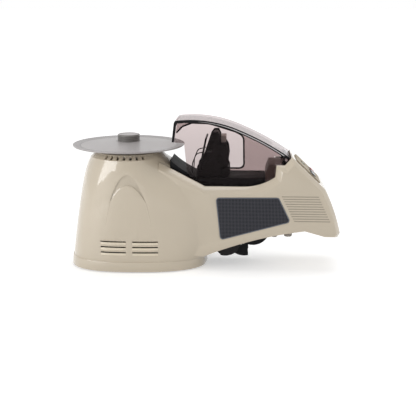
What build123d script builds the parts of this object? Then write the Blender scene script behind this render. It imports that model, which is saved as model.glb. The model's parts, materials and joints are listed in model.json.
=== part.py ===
from build123d import *
import os
from math import acos, atan2, copysign, cos, degrees, hypot, pi, radians, sin, sqrt, tan

# Electric tape dispenser: a turntable for the roll on a turret, a feed tower under a
# smoked cover, and an eight-station carousel under the arm. Millimetres, +Z up. The
# origin is on the table under the middle of the object, the nose points along +X and
# the closed side of the housing faces -Y. The operator works from the +Y side.

os.makedirs("parts", exist_ok=True)

# Fits and stock
wall = 2.6
gap = 0.3
run_gap = 0.05
steel = 2.0
board = 1.6

# Turret and base
spindle_x = -103.0
foot_height = 1.5
foot_sink = 1.2
foot_radius = 7.5
skirt_height = 15.0
skirt_ledge = 0.8
shoulder_z = 150.5
deck_z = 157.0
top_radius = 52.0
deck_radius = 45.5
base_left = 80.2
base_half = 61.4
base_right = 106.2
skirt_power = 2.5
section_steps = 20
lid = 3.0

# Stations up the turret: height, reach towards the arm, squareness of the oval
turret_stations = (
    (skirt_height, 112.0, 2.5),
    (45.0, 127.0, 2.5),
    (75.0, 130.0, 2.4),
    (105.0, 118.0, 2.3),
    (130.0, 88.0, 2.1),
    (shoulder_z, top_radius, 2.0),
)

# Vents
front_vent_z = 35.3
front_vent_pitch = 7.3
front_vent_length = 34.5
front_vent_height = 1.8
front_vent_middles = (-15.7, 27.3)
shoulder_vents = 7
shoulder_vent_pitch = 10.0
shoulder_vent_width = 3.2

# Arch relief on the turret, in X from the spindle and in Z
arch_middle = 4.5
arch_top = 132.4
arch_inner_top = 118.5
arch_tip_z = 95.9
arch_tip_half = 24.0
arch_depth = 1.2

# Arm and nose, seen from the side
arm_half = 44.0
bevel_half = 36.0
rim_bevel = 8.0
nose_bevel = 5.0
arm_root_x = -58.0
rim_root_z = 146.5
rim_start_x = 3.0
rim_z = 114.8
rim_end_x = 52.0
step_x = 96.5
step_foot_z = 128.0
shelf_z = 144.0
shelf_end_x = 109.0
nose_top_x = 118.6
nose_top_z = 155.0
nose_reach = 184.0
brow_back = 21.3
brow_z = 112.4
chin_length = 20.1
chin_z = 47.0
belly_x = 137.0
belly_z = 56.5
arm_foot_x = 1.8
arm_foot_z = 19.7
brow_x = nose_reach - brow_back
chin_back_x = nose_reach - chin_length

# Screw bosses under the arm: X, radius, lower end and length
arm_bosses = ((96.5, 3.6, 45.5, 6.5), (115.0, 5.0, 46.6, 9.4))
arm_boss_y = 30.0

# Well between the rims that holds the inner deck and the cover
well_half = 33.5
well_left = -44.0
well_right = 117.2
well_floor_z = 105.0

# Carousel
wheel_x = 43.0
wheel_z = 58.0
wheel_radius = 48.5
wheel_valley = 34.0
wheel_stations = 8
wheel_near = -12.0
wheel_far = 24.0
wheel_plate = 2.5
bay_radius = 55.0
bay_mouth_z = 62.0
hub_radius = 12.0
shaft_radius = 4.0
window_radius = 44.0
cover_left = -8.0
side_cover_thick = 3.0

# Gears
carousel_module = 1.2
carousel_teeth = 48
carousel_pinion_teeth = 16
carousel_pinion_angle = 25.0
feed_module = 0.8
feed_teeth = 20
feed_pinion_teeth = 16
feed_pinion_angle = -118.0
pressure_angle = 20.0
addendum = 0.85
dedendum = 1.1
backlash = 0.12
gear_width = 4.0

# Inner deck
liner_half = 28.5
liner_z = 124.9
liner_wall = 2.2
liner_left_z = 148.3
liner_right = 83.2
liner_skirt = 12.0
tape_window_left = 7.0
tape_window_right = 31.0
tape_window_half = 16.0

# Smoked cover
cover_half = 32.0
cover_wall = 2.5
cover_left_x = -41.4
cover_top_z = 203.2
cover_notch_z = 172.6
cover_notch_x = -25.0
pivot_x = 111.0
pivot_z = 150.5
lug_radius = 5.3
pin_radius = 2.0

# Feed tower
tower_half = 20.0
tower_plate = 2.5
feed_x = 8.5
feed_z = 149.0
feed_radius = 7.0
pressure_radius = 6.3
nip = 0.3
guide_x = 16.1
guide_z = 178.6
guide_radius = 5.0
arm_pivot_x = 30.6
arm_pivot_z = 133.2
roller_shaft = 2.0

# Turntable
disc_radius = 76.0
disc_rim_z = 166.5
disc_trough_radius = 66.0
disc_trough_z = 165.1
disc_cone_z = 170.3
disc_sheet = 2.2
roll_hub_radius = 15.0
roll_hub_z = 179.5
spindle_radius = 6.0

# Control panel and buttons
panel_length = 44.0
panel_width = 52.0
panel_thick = 2.4
panel_sink = 1.4
button_radius = 4.0
button_stand = 1.5
button_travel = 1.2
button_pitch = 16.0
button_shift = 8.0

# Power fittings on the hidden side
power_x = -95.0
power_z = 40.0
power_width = 44.0
power_height = 28.0
power_y = 57.0
inlet_radius = 2.85
inlet_depth = 9.5


def upright(y):
    """Vertical plane at this Y, drawn in X and Z, whose normal faces -Y."""
    return Plane(origin=(0, y, 0), x_dir=(1, 0, 0), z_dir=(0, -1, 0))


def turret_section(z, right, power, inset):
    """Outline of the turret at one height: round at the shoulder, a wide oval at the foot."""
    rise = min(z / shoulder_z, 1.0)
    spread = 0.6 * (1 - rise) + 0.4 * sqrt(1 - rise**2)
    left = top_radius + (base_left - top_radius) * spread - inset
    half = top_radius + (base_half - top_radius) * spread - inset
    points = []
    for step in range(section_steps):
        turn = 2 * pi * step / section_steps
        reach = right - inset if cos(turn) > 0 else left
        along = copysign(abs(cos(turn)) ** (2 / power), cos(turn)) * reach
        across = copysign(abs(sin(turn)) ** (2 / power), sin(turn)) * half
        points.append((spindle_x + along, across))
    with BuildSketch(Plane.XY.offset(z)) as section:
        with BuildLine():
            Spline(*points, periodic=True)
        make_face()
    return section.sketch


def arm_profile(y, drop, inset):
    """Side outline of arm and nose; drop lowers the rim and inset draws in the nose."""
    with BuildSketch(upright(y)) as profile:
        with BuildLine():
            root = (arm_root_x, rim_root_z - drop)
            start = (rim_start_x, rim_z - drop)
            level = (rim_end_x + drop, rim_z - drop)
            foot = (step_x + 0.9 * drop, step_foot_z - 0.7 * drop)
            rise = ((level[0] + foot[0]) / 2 + 3, (level[1] + foot[1]) / 2 - 3)
            shelf = (step_x + 1.5 + drop, shelf_z - drop)
            shelf_end = (shelf_end_x + 0.4 * drop, shelf_z - drop)
            top = (nose_top_x + 0.4 * inset, nose_top_z - 1.8 * inset)
            brow = (brow_x - 0.84 * inset, brow_z - 0.6 * inset)
            cheek = (brow_x + 12.6 - 0.94 * inset, brow_z - 28.7 - 0.32 * inset)
            lip = (nose_reach - inset, chin_z + 6)
            chin = (nose_reach - 3 - inset, chin_z + 0.4 * inset)
            chin_back = (chin_back_x, chin_z + 0.4 * inset)
            belly = (belly_x, belly_z)
            sag = ((belly_x + arm_foot_x) / 2 - 9, (belly_z + arm_foot_z) / 2 + 2.4)
            end = (arm_foot_x, arm_foot_z)
            Polyline(root, start, level)
            ThreePointArc(level, rise, foot)
            Polyline(foot, shelf, shelf_end, top, brow)
            ThreePointArc(brow, cheek, lip)
            Polyline(lip, chin, chin_back, belly)
            ThreePointArc(belly, sag, end)
            Polyline(end, (arm_foot_x - 22, arm_foot_z), (arm_root_x, 60), root)
        make_face()
    return profile.sketch


def box_between(x, y, z, mode=Mode.ADD):
    """Box between two values on each axis."""
    with Locations(((x[0] + x[1]) / 2, (y[0] + y[1]) / 2, (z[0] + z[1]) / 2)):
        Box(x[1] - x[0], y[1] - y[0], z[1] - z[0], mode=mode)


def rod(x, z, radius, y_low, y_high, mode=Mode.ADD):
    """Round bar along Y."""
    with Locations(Plane(origin=(x, y_high, z), x_dir=(1, 0, 0), z_dir=(0, -1, 0))):
        length = y_high - y_low
        Cylinder(radius, length, align=(Align.CENTER, Align.CENTER, Align.MIN), mode=mode)


def tooth_outline(x, z, teeth, module, turn):
    """Corner points of an involute gear; turn puts the middle of a tooth at that angle."""
    pitch = teeth * module / 2
    base = pitch * cos(radians(pressure_angle))
    tip = pitch + addendum * module
    root = pitch - dedendum * module
    involute = tan(radians(pressure_angle)) - radians(pressure_angle)
    half_tooth = pi / (2 * teeth) - backlash / (2 * pitch) + involute
    side = []
    for radius in (max(base, root), tip):
        lean = acos(min(base / radius, 1.0))
        side.append((radius, half_tooth - (tan(lean) - lean)))
    if base > root:
        side.insert(0, (root, side[0][1]))
    points = []
    for tooth in range(teeth):
        middle = radians(turn) + 2 * pi * tooth / teeth
        for radius, half in side:
            points.append((x + radius * cos(middle - half), z + radius * sin(middle - half)))
        for radius, half in reversed(side):
            points.append((x + radius * cos(middle + half), z + radius * sin(middle + half)))
    return points


def gear(x, z, teeth, module, turn, bore, y_low, y_high):
    """Spur gear along Y with a plain bore."""
    with BuildSketch(upright(y_high)) as outline:
        with BuildLine():
            Polyline(*tooth_outline(x, z, teeth, module, turn), close=True)
        make_face()
        with Locations((x, z)):
            Circle(bore, mode=Mode.SUBTRACT)
    extrude(outline.sketch, amount=y_high - y_low)


# Whole outside of arm and nose, with the bevel along both rims and round the nose
with BuildPart() as arm_outside:
    extrude(arm_profile(bevel_half, 0, 0), amount=2 * bevel_half)
    for side in (-1, 1):
        loft(
            sections=[
                arm_profile(side * bevel_half, 0, 0),
                arm_profile(side * arm_half, rim_bevel, nose_bevel),
            ],
            ruled=True,
        )

# Whole outside and inside of the turret
with BuildPart() as turret_outside:
    loft(sections=[turret_section(z, right, power, 0) for z, right, power in turret_stations])
    with BuildSketch(Plane.XZ) as shoulder_profile:
        with BuildLine():
            Polyline(
                (spindle_x, shoulder_z - 1),
                (spindle_x + top_radius + 0.05, shoulder_z - 1),
                (spindle_x + top_radius + 0.05, shoulder_z),
                (spindle_x + deck_radius, deck_z - 1),
                (spindle_x, deck_z - 1),
                close=True,
            )
        make_face()
    revolve(axis=Axis((spindle_x, 0, 0), (0, 0, 1)))

with BuildPart() as turret_inside:
    loft(
        sections=[
            turret_section(z - 1 if z < 20 else z, right, power, wall)
            for z, right, power in turret_stations
        ]
    )
    with BuildSketch(Plane.XZ) as inner_shoulder:
        with BuildLine():
            Polyline(
                (spindle_x, shoulder_z - 1),
                (spindle_x + top_radius - wall, shoulder_z - 1),
                (spindle_x + deck_radius - wall, deck_z - wall),
                (spindle_x + deck_radius - wall, deck_z + 1),
                (spindle_x, deck_z + 1),
                close=True,
            )
        make_face()
    revolve(axis=Axis((spindle_x, 0, 0), (0, 0, 1)))

# Crescent between two parabolas, cut into the turret's skin
with BuildPart() as arch_cut:
    with BuildSketch(upright(0)) as arch:
        middle = spindle_x + arch_middle
        tips = ((middle - arch_tip_half, arch_tip_z), (middle + arch_tip_half, arch_tip_z))
        with BuildLine():
            Bezier(tips[0], (middle, 2 * arch_top - arch_tip_z), tips[1])
            Bezier(tips[0], (middle, 2 * arch_inner_top - arch_tip_z), tips[1])
        make_face()
    extrude(arch.sketch, amount=base_half + 5)
    loft(
        sections=[turret_section(z, right, power, arch_depth) for z, right, power in turret_stations],
        mode=Mode.SUBTRACT,
    )

pinion_distance = carousel_module * (carousel_teeth + carousel_pinion_teeth) / 2
pinion_x = wheel_x + pinion_distance * cos(radians(carousel_pinion_angle))
pinion_z = wheel_z + pinion_distance * sin(radians(carousel_pinion_angle))
slope = atan2(brow_z - nose_top_z, brow_x - nose_top_x)
slope_length = hypot(brow_x - nose_top_x, brow_z - nose_top_z)
panel_plane = Plane(
    origin=((nose_top_x + brow_x) / 2, 0, (nose_top_z + brow_z) / 2),
    x_dir=(cos(slope), 0, sin(slope)),
    z_dir=(-sin(slope), 0, cos(slope)),
)

button_flange = 5.2
flange_thick = 1.5
stem_radius = 1.6
panel_round = 4.0
flange_top = -panel_sink - gap
board_drop = 8.0
board_post_radius = 2.5
button_places = [(button_shift, step * button_pitch) for step in (-1, 0, 1)]
lens_place = (-10.0, 0.0)
lens_radius = 2.5

# Label outline on the arm's side: four corners, parallel to the arm's lower edge
label_corners = ((17.6, 101.6), (101.7, 102.5), (118.2, 68.6), (23.7, 42.4))
label_round = 4.5
label_sink = 0.6
label_thick = 0.8

# Fine grooves beside the label, from the top one to the lowest
groove_count = 11
groove_pitch = 3.34
groove_width = 1.2
groove_sink = 0.7
groove_top_z = 103.5
groove_left = 105.5
groove_left_low = 122.4
groove_right = 154.3
groove_right_low = 170.0

# Main housing: turret, near side of the arm, rims and nose in one moulding
with BuildPart() as main_housing:
    add(turret_outside.part)
    add(arm_outside.part)
    add(turret_inside.part, mode=Mode.SUBTRACT)
    near_wall_y = arm_half - wall
    with BuildSketch(upright(near_wall_y)) as deep_inside:
        add(arm_profile(near_wall_y, rim_bevel, nose_bevel))
        offset(amount=-wall)
    extrude(deep_inside.sketch, amount=2 * near_wall_y, mode=Mode.SUBTRACT)
    with BuildSketch(upright(bevel_half - 1)) as inside:
        add(arm_profile(bevel_half - 1, 0, 0))
        offset(amount=-wall)
    extrude(inside.sketch, amount=2 * (bevel_half - 1), mode=Mode.SUBTRACT)
    box_between(
        (well_left, well_right), (-well_half, well_half), (well_floor_z, nose_top_z + 20), Mode.SUBTRACT
    )
    # Bay for the carousel, open below and towards the operator
    rod(wheel_x, wheel_z, bay_radius, wheel_near - 8, wheel_far + 6, Mode.SUBTRACT)
    box_between(
        (arm_foot_x + 1, wheel_x + bay_radius - 3),
        (-bevel_half, near_wall_y),
        (0, bay_mouth_z),
        Mode.SUBTRACT,
    )
    box_between(
        (cover_left, nose_reach + 1),
        (arm_half - side_cover_thick, arm_half + 20),
        (0, nose_top_z + 15),
        Mode.SUBTRACT,
    )
    for x, radius, low, length in arm_bosses:
        with Locations((x, -arm_boss_y, low), (x, arm_boss_y, low)):
            Cylinder(radius, length, align=(Align.CENTER, Align.CENTER, Align.MIN))
    # Relief, vents, label recess and grooves
    add(arch_cut.part, mode=Mode.SUBTRACT)
    for middle in front_vent_middles:
        for step in (-1, 0, 1):
            with Locations((spindle_x + middle, -base_half, front_vent_z + step * front_vent_pitch)):
                Box(front_vent_length, 30, front_vent_height, mode=Mode.SUBTRACT)
    with Locations((spindle_x, 0, (shoulder_z + deck_z) / 2)):
        with PolarLocations(
            (top_radius + deck_radius) / 2,
            shoulder_vents,
            start_angle=-90 - shoulder_vent_pitch * (shoulder_vents - 1) / 2,
            angular_range=shoulder_vent_pitch * shoulder_vents,
            endpoint=False,
        ):
            Box(9, shoulder_vent_width, 5, mode=Mode.SUBTRACT)
    with BuildSketch(upright(label_sink - arm_half)) as label_recess:
        with BuildLine():
            Polyline(*label_corners, close=True)
        make_face()
        fillet(label_recess.vertices(), label_round)
    extrude(label_recess.sketch, amount=2, mode=Mode.SUBTRACT)
    with BuildSketch(upright(groove_sink - arm_half)) as fine_grooves:
        for step in range(groove_count):
            left = groove_left + (groove_left_low - groove_left) * step / (groove_count - 1)
            right = groove_right + (groove_right_low - groove_right) * step / (groove_count - 1)
            with Locations(((left + right) / 2, groove_top_z - step * groove_pitch)):
                Rectangle(right - left, groove_width)
    extrude(fine_grooves.sketch, amount=2, mode=Mode.SUBTRACT)
    # Pocket for the control panel, holes for its buttons and posts for its board
    with BuildSketch(panel_plane.offset(-panel_sink)) as pocket:
        RectangleRounded(panel_length + 2 * gap, panel_width + 2 * gap, panel_round)
    extrude(pocket.sketch, amount=6, mode=Mode.SUBTRACT)
    with BuildSketch(panel_plane.offset(-wall)) as posts:
        with GridLocations(panel_length - 14, panel_width - 8, 2, 2):
            Circle(board_post_radius)
    extrude(posts.sketch, amount=wall - board_drop)
    with BuildSketch(panel_plane) as button_holes:
        with Locations(*button_places):
            Circle(button_flange + 1)
        with Locations(lens_place):
            Circle(lens_radius + gap)
    extrude(button_holes.sketch, amount=5, both=True, mode=Mode.SUBTRACT)
    # Opening for the power plate on the hidden side
    box_between(
        (power_x - power_width / 2 - gap, power_x + power_width / 2 + gap),
        (power_y - 14, base_half + 10),
        (power_z - power_height / 2 - gap, power_z + power_height / 2 + gap),
        Mode.SUBTRACT,
    )
main_housing.part.label = "main_housing"
export_step(main_housing.part, "parts/main_housing.step")

# Operator side cover: the outer slice of the arm, with the window for the fingers
with BuildPart() as side_cover:
    add(arm_outside.part)
    box_between(
        (cover_left + gap, nose_reach + 1),
        (arm_half - side_cover_thick, arm_half + 1),
        (0, nose_top_z + 1),
        Mode.INTERSECT,
    )
    rod(wheel_x, wheel_z, window_radius, arm_half - 10, arm_half + 5, Mode.SUBTRACT)
side_cover.part.label = "side_cover"
export_step(side_cover.part, "parts/side_cover.step")

with BuildPart() as label_plate:
    with BuildSketch(upright(label_sink - arm_half)) as label_face:
        with BuildLine():
            Polyline(*label_corners, close=True)
        make_face()
        fillet(label_face.vertices(), label_round)
        offset(amount=-gap)
    extrude(label_face.sketch, amount=label_thick)
label_plate.part.label = "label_plate"
export_step(label_plate.part, "parts/label_plate.step")

# Base pan with foot recesses, ballast and boards in the turret
feet = ((-48.0, 38.0), (-48.0, -38.0), (84.0, 24.0), (84.0, -24.0))
foot_places = [(spindle_x + x, y) for x, y in feet]
pan_floor = foot_height + wall
ballast_length = 112.0
ballast_width = 78.0
ballast_thick = 6.0
board_stand = 5.0

with BuildPart() as base_pan:
    loft(
        sections=[
            turret_section(foot_height, base_right, skirt_power, -skirt_ledge),
            turret_section(skirt_height, base_right, skirt_power, -skirt_ledge),
        ],
        ruled=True,
    )
    loft(
        sections=[
            turret_section(pan_floor, base_right, skirt_power, wall - skirt_ledge),
            turret_section(skirt_height + 1, base_right, skirt_power, wall - skirt_ledge),
        ],
        ruled=True,
        mode=Mode.SUBTRACT,
    )
    with Locations(*[(x, y, foot_height) for x, y in foot_places]):
        Cylinder(
            foot_radius + gap,
            foot_sink,
            align=(Align.CENTER, Align.CENTER, Align.MIN),
            mode=Mode.SUBTRACT,
        )
base_pan.part.label = "base_pan"
export_step(base_pan.part, "parts/base_pan.step")

with BuildPart() as rubber_feet:
    with Locations(*[(x, y, 0) for x, y in foot_places]):
        Cylinder(foot_radius, foot_height + foot_sink, align=(Align.CENTER, Align.CENTER, Align.MIN))
rubber_feet.part.label = "rubber_feet"
export_step(rubber_feet.part, "parts/rubber_feet.step")

with BuildPart() as ballast_plate:
    with Locations((spindle_x, 0, pan_floor)):
        Box(ballast_length, ballast_width, ballast_thick, align=(Align.CENTER, Align.CENTER, Align.MIN))
    fillet(ballast_plate.edges().filter_by(Axis.Z), 10)
ballast_plate.part.label = "ballast_plate"
export_step(ballast_plate.part, "parts/ballast_plate.step")

ballast_top = pan_floor + ballast_thick
board_length = 80.0
board_width = 60.0
board_top = ballast_top + board_stand + board
# Capacitors on the board: X from the spindle, Y, radius and height
capacitors = ((22.0, -12.0, 8.0, 26.0), (22.0, 14.0, 6.0, 20.0))
with BuildPart() as main_board:
    with Locations((spindle_x, 0, ballast_top + board_stand)):
        Box(board_length, board_width, board, align=(Align.CENTER, Align.CENTER, Align.MIN))
    with Locations((spindle_x, 0, ballast_top)):
        with GridLocations(board_length - 10, board_width - 10, 2, 2):
            Cylinder(3, board_stand, align=(Align.CENTER, Align.CENTER, Align.MIN))
    for x, y, radius, height in capacitors:
        with Locations((spindle_x + x, y, board_top)):
            Cylinder(radius, height, align=(Align.CENTER, Align.CENTER, Align.MIN))
main_board.part.label = "main_board"
export_step(main_board.part, "parts/main_board.step")

sink_x = spindle_x - 18.0
sink_length = 34.0
sink_width = 44.0
sink_plate = 3.0
fin_count = 6
fin_pitch = 6.0
fin_thick = 1.6
fin_height = 18.0
with BuildPart() as heat_sink:
    with Locations((sink_x, 0, board_top)):
        Box(sink_length, sink_width, sink_plate, align=(Align.CENTER, Align.CENTER, Align.MIN))
    with Locations((sink_x, 0, board_top + sink_plate)):
        with GridLocations(fin_pitch, 1, fin_count, 1):
            Box(fin_thick, sink_width, fin_height, align=(Align.CENTER, Align.CENTER, Align.MIN))
heat_sink.part.label = "heat_sink"
export_step(heat_sink.part, "parts/heat_sink.step")

# Deck of the turret, spindle and lower bearing ring
deck_thick = 1.0
deck_lip = 4.0
deck_boss = 16.0
ring_height = 2.6
ring_radius = 20.0
boss_bottom = deck_z + ring_height + gap
hub_seat_z = disc_cone_z - 0.3
post_top = hub_seat_z + 6.5
post_bottom = deck_z - deck_boss - 2

with BuildPart() as turret_deck:
    with BuildSketch(Plane.XZ):
        with BuildLine():
            Polyline(
                (spindle_x + spindle_radius, deck_z),
                (spindle_x + deck_radius - 0.4, deck_z),
                (spindle_x + deck_radius, deck_z - deck_thick),
                (spindle_x + deck_radius - wall - gap, deck_z - deck_thick),
                (spindle_x + deck_radius - wall - gap, deck_z - deck_thick - deck_lip),
                (spindle_x + deck_radius - 2 * wall - gap, deck_z - deck_thick - deck_lip),
                (spindle_x + deck_radius - 2 * wall - gap, deck_z - lid),
                (spindle_x + 2 * spindle_radius, deck_z - lid),
                (spindle_x + 2 * spindle_radius, deck_z - deck_boss),
                (spindle_x + spindle_radius, deck_z - deck_boss),
                close=True,
            )
        make_face()
    revolve(axis=Axis((spindle_x, 0, 0), (0, 0, 1)))
turret_deck.part.label = "turret_deck"
export_step(turret_deck.part, "parts/turret_deck.step")

with BuildPart() as spindle_post:
    with Locations((spindle_x, 0, post_bottom)):
        Cylinder(spindle_radius, post_top - post_bottom, align=(Align.CENTER, Align.CENTER, Align.MIN))
    chamfer(spindle_post.faces().sort_by(Axis.Z)[-1].edges(), 1)
spindle_post.part.label = "spindle_post"
export_step(spindle_post.part, "parts/spindle_post.step")

with BuildPart() as bearing_ring:
    with Locations((spindle_x, 0, deck_z)):
        Cylinder(ring_radius, ring_height, align=(Align.CENTER, Align.CENTER, Align.MIN))
        Cylinder(
            spindle_radius + 2,
            ring_height,
            align=(Align.CENTER, Align.CENTER, Align.MIN),
            mode=Mode.SUBTRACT,
        )
bearing_ring.part.label = "bearing_ring"
export_step(bearing_ring.part, "parts/bearing_ring.step")

# Turntable: shallow saucer with a boss that turns on the spindle, and the roll hub
with BuildPart() as disc_plate:
    bore = spindle_radius + run_gap
    with BuildSketch(Plane.XZ):
        with BuildLine():
            Polyline(
                (spindle_x + bore, boss_bottom),
                (spindle_x + ring_radius - 2, boss_bottom),
                (spindle_x + ring_radius, hub_seat_z - disc_sheet - 0.3),
                (spindle_x + disc_trough_radius, disc_trough_z - disc_sheet),
                (spindle_x + disc_radius - 1, disc_rim_z - disc_sheet),
                (spindle_x + disc_radius, disc_rim_z - disc_sheet + 1),
                (spindle_x + disc_radius, disc_rim_z),
                (spindle_x + disc_trough_radius, disc_trough_z),
                (spindle_x + roll_hub_radius + 2, hub_seat_z),
                (spindle_x + bore, hub_seat_z),
                close=True,
            )
        make_face()
    revolve(axis=Axis((spindle_x, 0, 0), (0, 0, 1)))
disc_plate.part.label = "disc_plate"
export_step(disc_plate.part, "parts/disc_plate.step")

groove_height = 1.0
ring_sink = 0.8
with BuildPart() as roll_hub:
    with BuildSketch(Plane.XZ):
        with BuildLine():
            Polyline(
                (spindle_x, post_top + gap),
                (spindle_x + bore, post_top + gap),
                (spindle_x + bore, hub_seat_z),
                (spindle_x + roll_hub_radius, hub_seat_z),
                (spindle_x + roll_hub_radius, hub_seat_z + groove_height),
                (spindle_x + roll_hub_radius - ring_sink, hub_seat_z + groove_height),
                (spindle_x + roll_hub_radius - ring_sink, hub_seat_z + 2 * groove_height),
                (spindle_x + roll_hub_radius, hub_seat_z + 2 * groove_height),
                (spindle_x + roll_hub_radius, hub_seat_z + 3 * groove_height),
                (spindle_x + roll_hub_radius - ring_sink, hub_seat_z + 3 * groove_height),
                (spindle_x + roll_hub_radius - ring_sink, hub_seat_z + 4 * groove_height),
                (spindle_x + roll_hub_radius, hub_seat_z + 4 * groove_height),
                (spindle_x + roll_hub_radius, roll_hub_z - 0.8),
                (spindle_x + roll_hub_radius - 0.8, roll_hub_z),
                (spindle_x + roll_hub_radius - 3, roll_hub_z),
                (spindle_x + roll_hub_radius - 4, roll_hub_z - 0.7),
                (spindle_x, roll_hub_z - 0.7),
                close=True,
            )
        make_face()
    revolve(axis=Axis((spindle_x, 0, 0), (0, 0, 1)))
roll_hub.part.label = "roll_hub"
export_step(roll_hub.part, "parts/roll_hub.step")

# Black inner deck between the rims, with its tape window and the keeper of the cutter slide
liner_left_x = well_left + gap
liner_knee_x = -7.0
slide_top = liner_z - liner_wall - gap
slide_thick = 2.6
slide_half = 8.0
keeper_x = (46.0, 54.0)
keeper_wall = 2.0
keeper_lip = 1.2

def liner_outline(y, grow):
    """Side outline of the inner deck; grow moves every wall inwards and opens the foot."""
    drop = liner_skirt + (1 if grow else 0)
    with BuildSketch(upright(y)) as outline:
        with BuildLine():
            sweep_line = ThreePointArc(
                (liner_left_x, liner_left_z - grow),
                (liner_left_x + 17, (liner_left_z + liner_z) / 2 - 1.5 - grow),
                (liner_knee_x, liner_z - grow),
            )
            Polyline(
                sweep_line @ 1,
                (liner_right - grow, liner_z - grow),
                (liner_right - grow, liner_z - drop),
                (liner_knee_x, liner_z - drop),
                (liner_left_x, liner_left_z - drop),
                sweep_line @ 0,
            )
        make_face()
    return outline.sketch


with BuildPart() as deck_liner:
    extrude(liner_outline(liner_half, 0), amount=2 * liner_half)
    inner_half = liner_half - liner_wall
    extrude(liner_outline(inner_half, liner_wall), amount=2 * inner_half, mode=Mode.SUBTRACT)
    box_between(
        (tape_window_left, tape_window_right),
        (-tape_window_half, tape_window_half),
        (liner_z - 2 * liner_wall, liner_z + 1),
        Mode.SUBTRACT,
    )
    keeper_top = liner_z - liner_wall
    keeper_bottom = slide_top - slide_thick - gap - keeper_lip
    for side in (-1, 1):
        outer_y = side * (slide_half + gap + keeper_wall)
        wall_y = sorted((side * (slide_half + gap), outer_y))
        lip_y = sorted((side * (slide_half - keeper_wall), outer_y))
        box_between(keeper_x, wall_y, (keeper_bottom, keeper_top + 0.1))
        box_between(keeper_x, lip_y, (keeper_bottom, keeper_bottom + keeper_lip))
deck_liner.part.label = "deck_liner"
export_step(deck_liner.part, "parts/deck_liner.step")

# Block at the nose end of the well: closes the deck and carries the cover's hinge
block_top = shelf_z - 0.5
block_left = liner_right + gap
block_wide_x = step_x + 1.5
block_bottom = rim_z - 2.0
block_shoulder = 12.5
block_slant = 4.5
with BuildPart() as hinge_block:
    with BuildSketch(upright(liner_half)):
        with BuildLine():
            Polyline(
                (block_left, block_bottom),
                (block_left, block_top - block_shoulder),
                (block_left + block_slant, block_top),
                (block_wide_x, block_top),
                (block_wide_x, block_bottom),
                close=True,
            )
        make_face()
    extrude(amount=2 * liner_half)
    box_between(
        (block_wide_x, well_right - gap), (gap - well_half, well_half - gap), (block_bottom, block_top)
    )
    with BuildSketch(upright(liner_half - wall)):
        with BuildLine():
            Polyline(
                (block_left + wall, block_bottom - 1),
                (block_left + wall, block_top - block_shoulder),
                (block_left + wall + block_slant - 1, block_top - wall),
                (well_right - gap - wall, block_top - wall),
                (well_right - gap - wall, block_bottom - 1),
                close=True,
            )
        make_face()
    extrude(amount=2 * (liner_half - wall), mode=Mode.SUBTRACT)
hinge_block.part.label = "hinge_block"
export_step(hinge_block.part, "parts/hinge_block.step")

# Smoked cover: one bent sheet, flat across, with two side walls; the operator's wall is
# cut open so that the mechanism can be reached
bracket_y = (23.0, 27.0)
knuckle_clear = 3.9
bracket_round = 3.5
cover_spring = (pivot_x + lug_radius * sin(radians(33)), pivot_z + lug_radius * cos(radians(33)))
cover_corner = (cover_left_x + 4.6, cover_top_z - 1.4)
cover_crown = (5.6, 201.8)
cover_joint = (51.1, 188.9)
cover_sag = (84.5, 172.9)
cutout_corner_z = 172.0
cutout_low_z = 128.5
pin_reach = cover_half - 1.2


def cover_curve():
    """Top line of the cover from the left corner to the hinge knuckle."""
    ThreePointArc(cover_corner, cover_crown, cover_joint)
    ThreePointArc(cover_joint, cover_sag, cover_spring)


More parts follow.
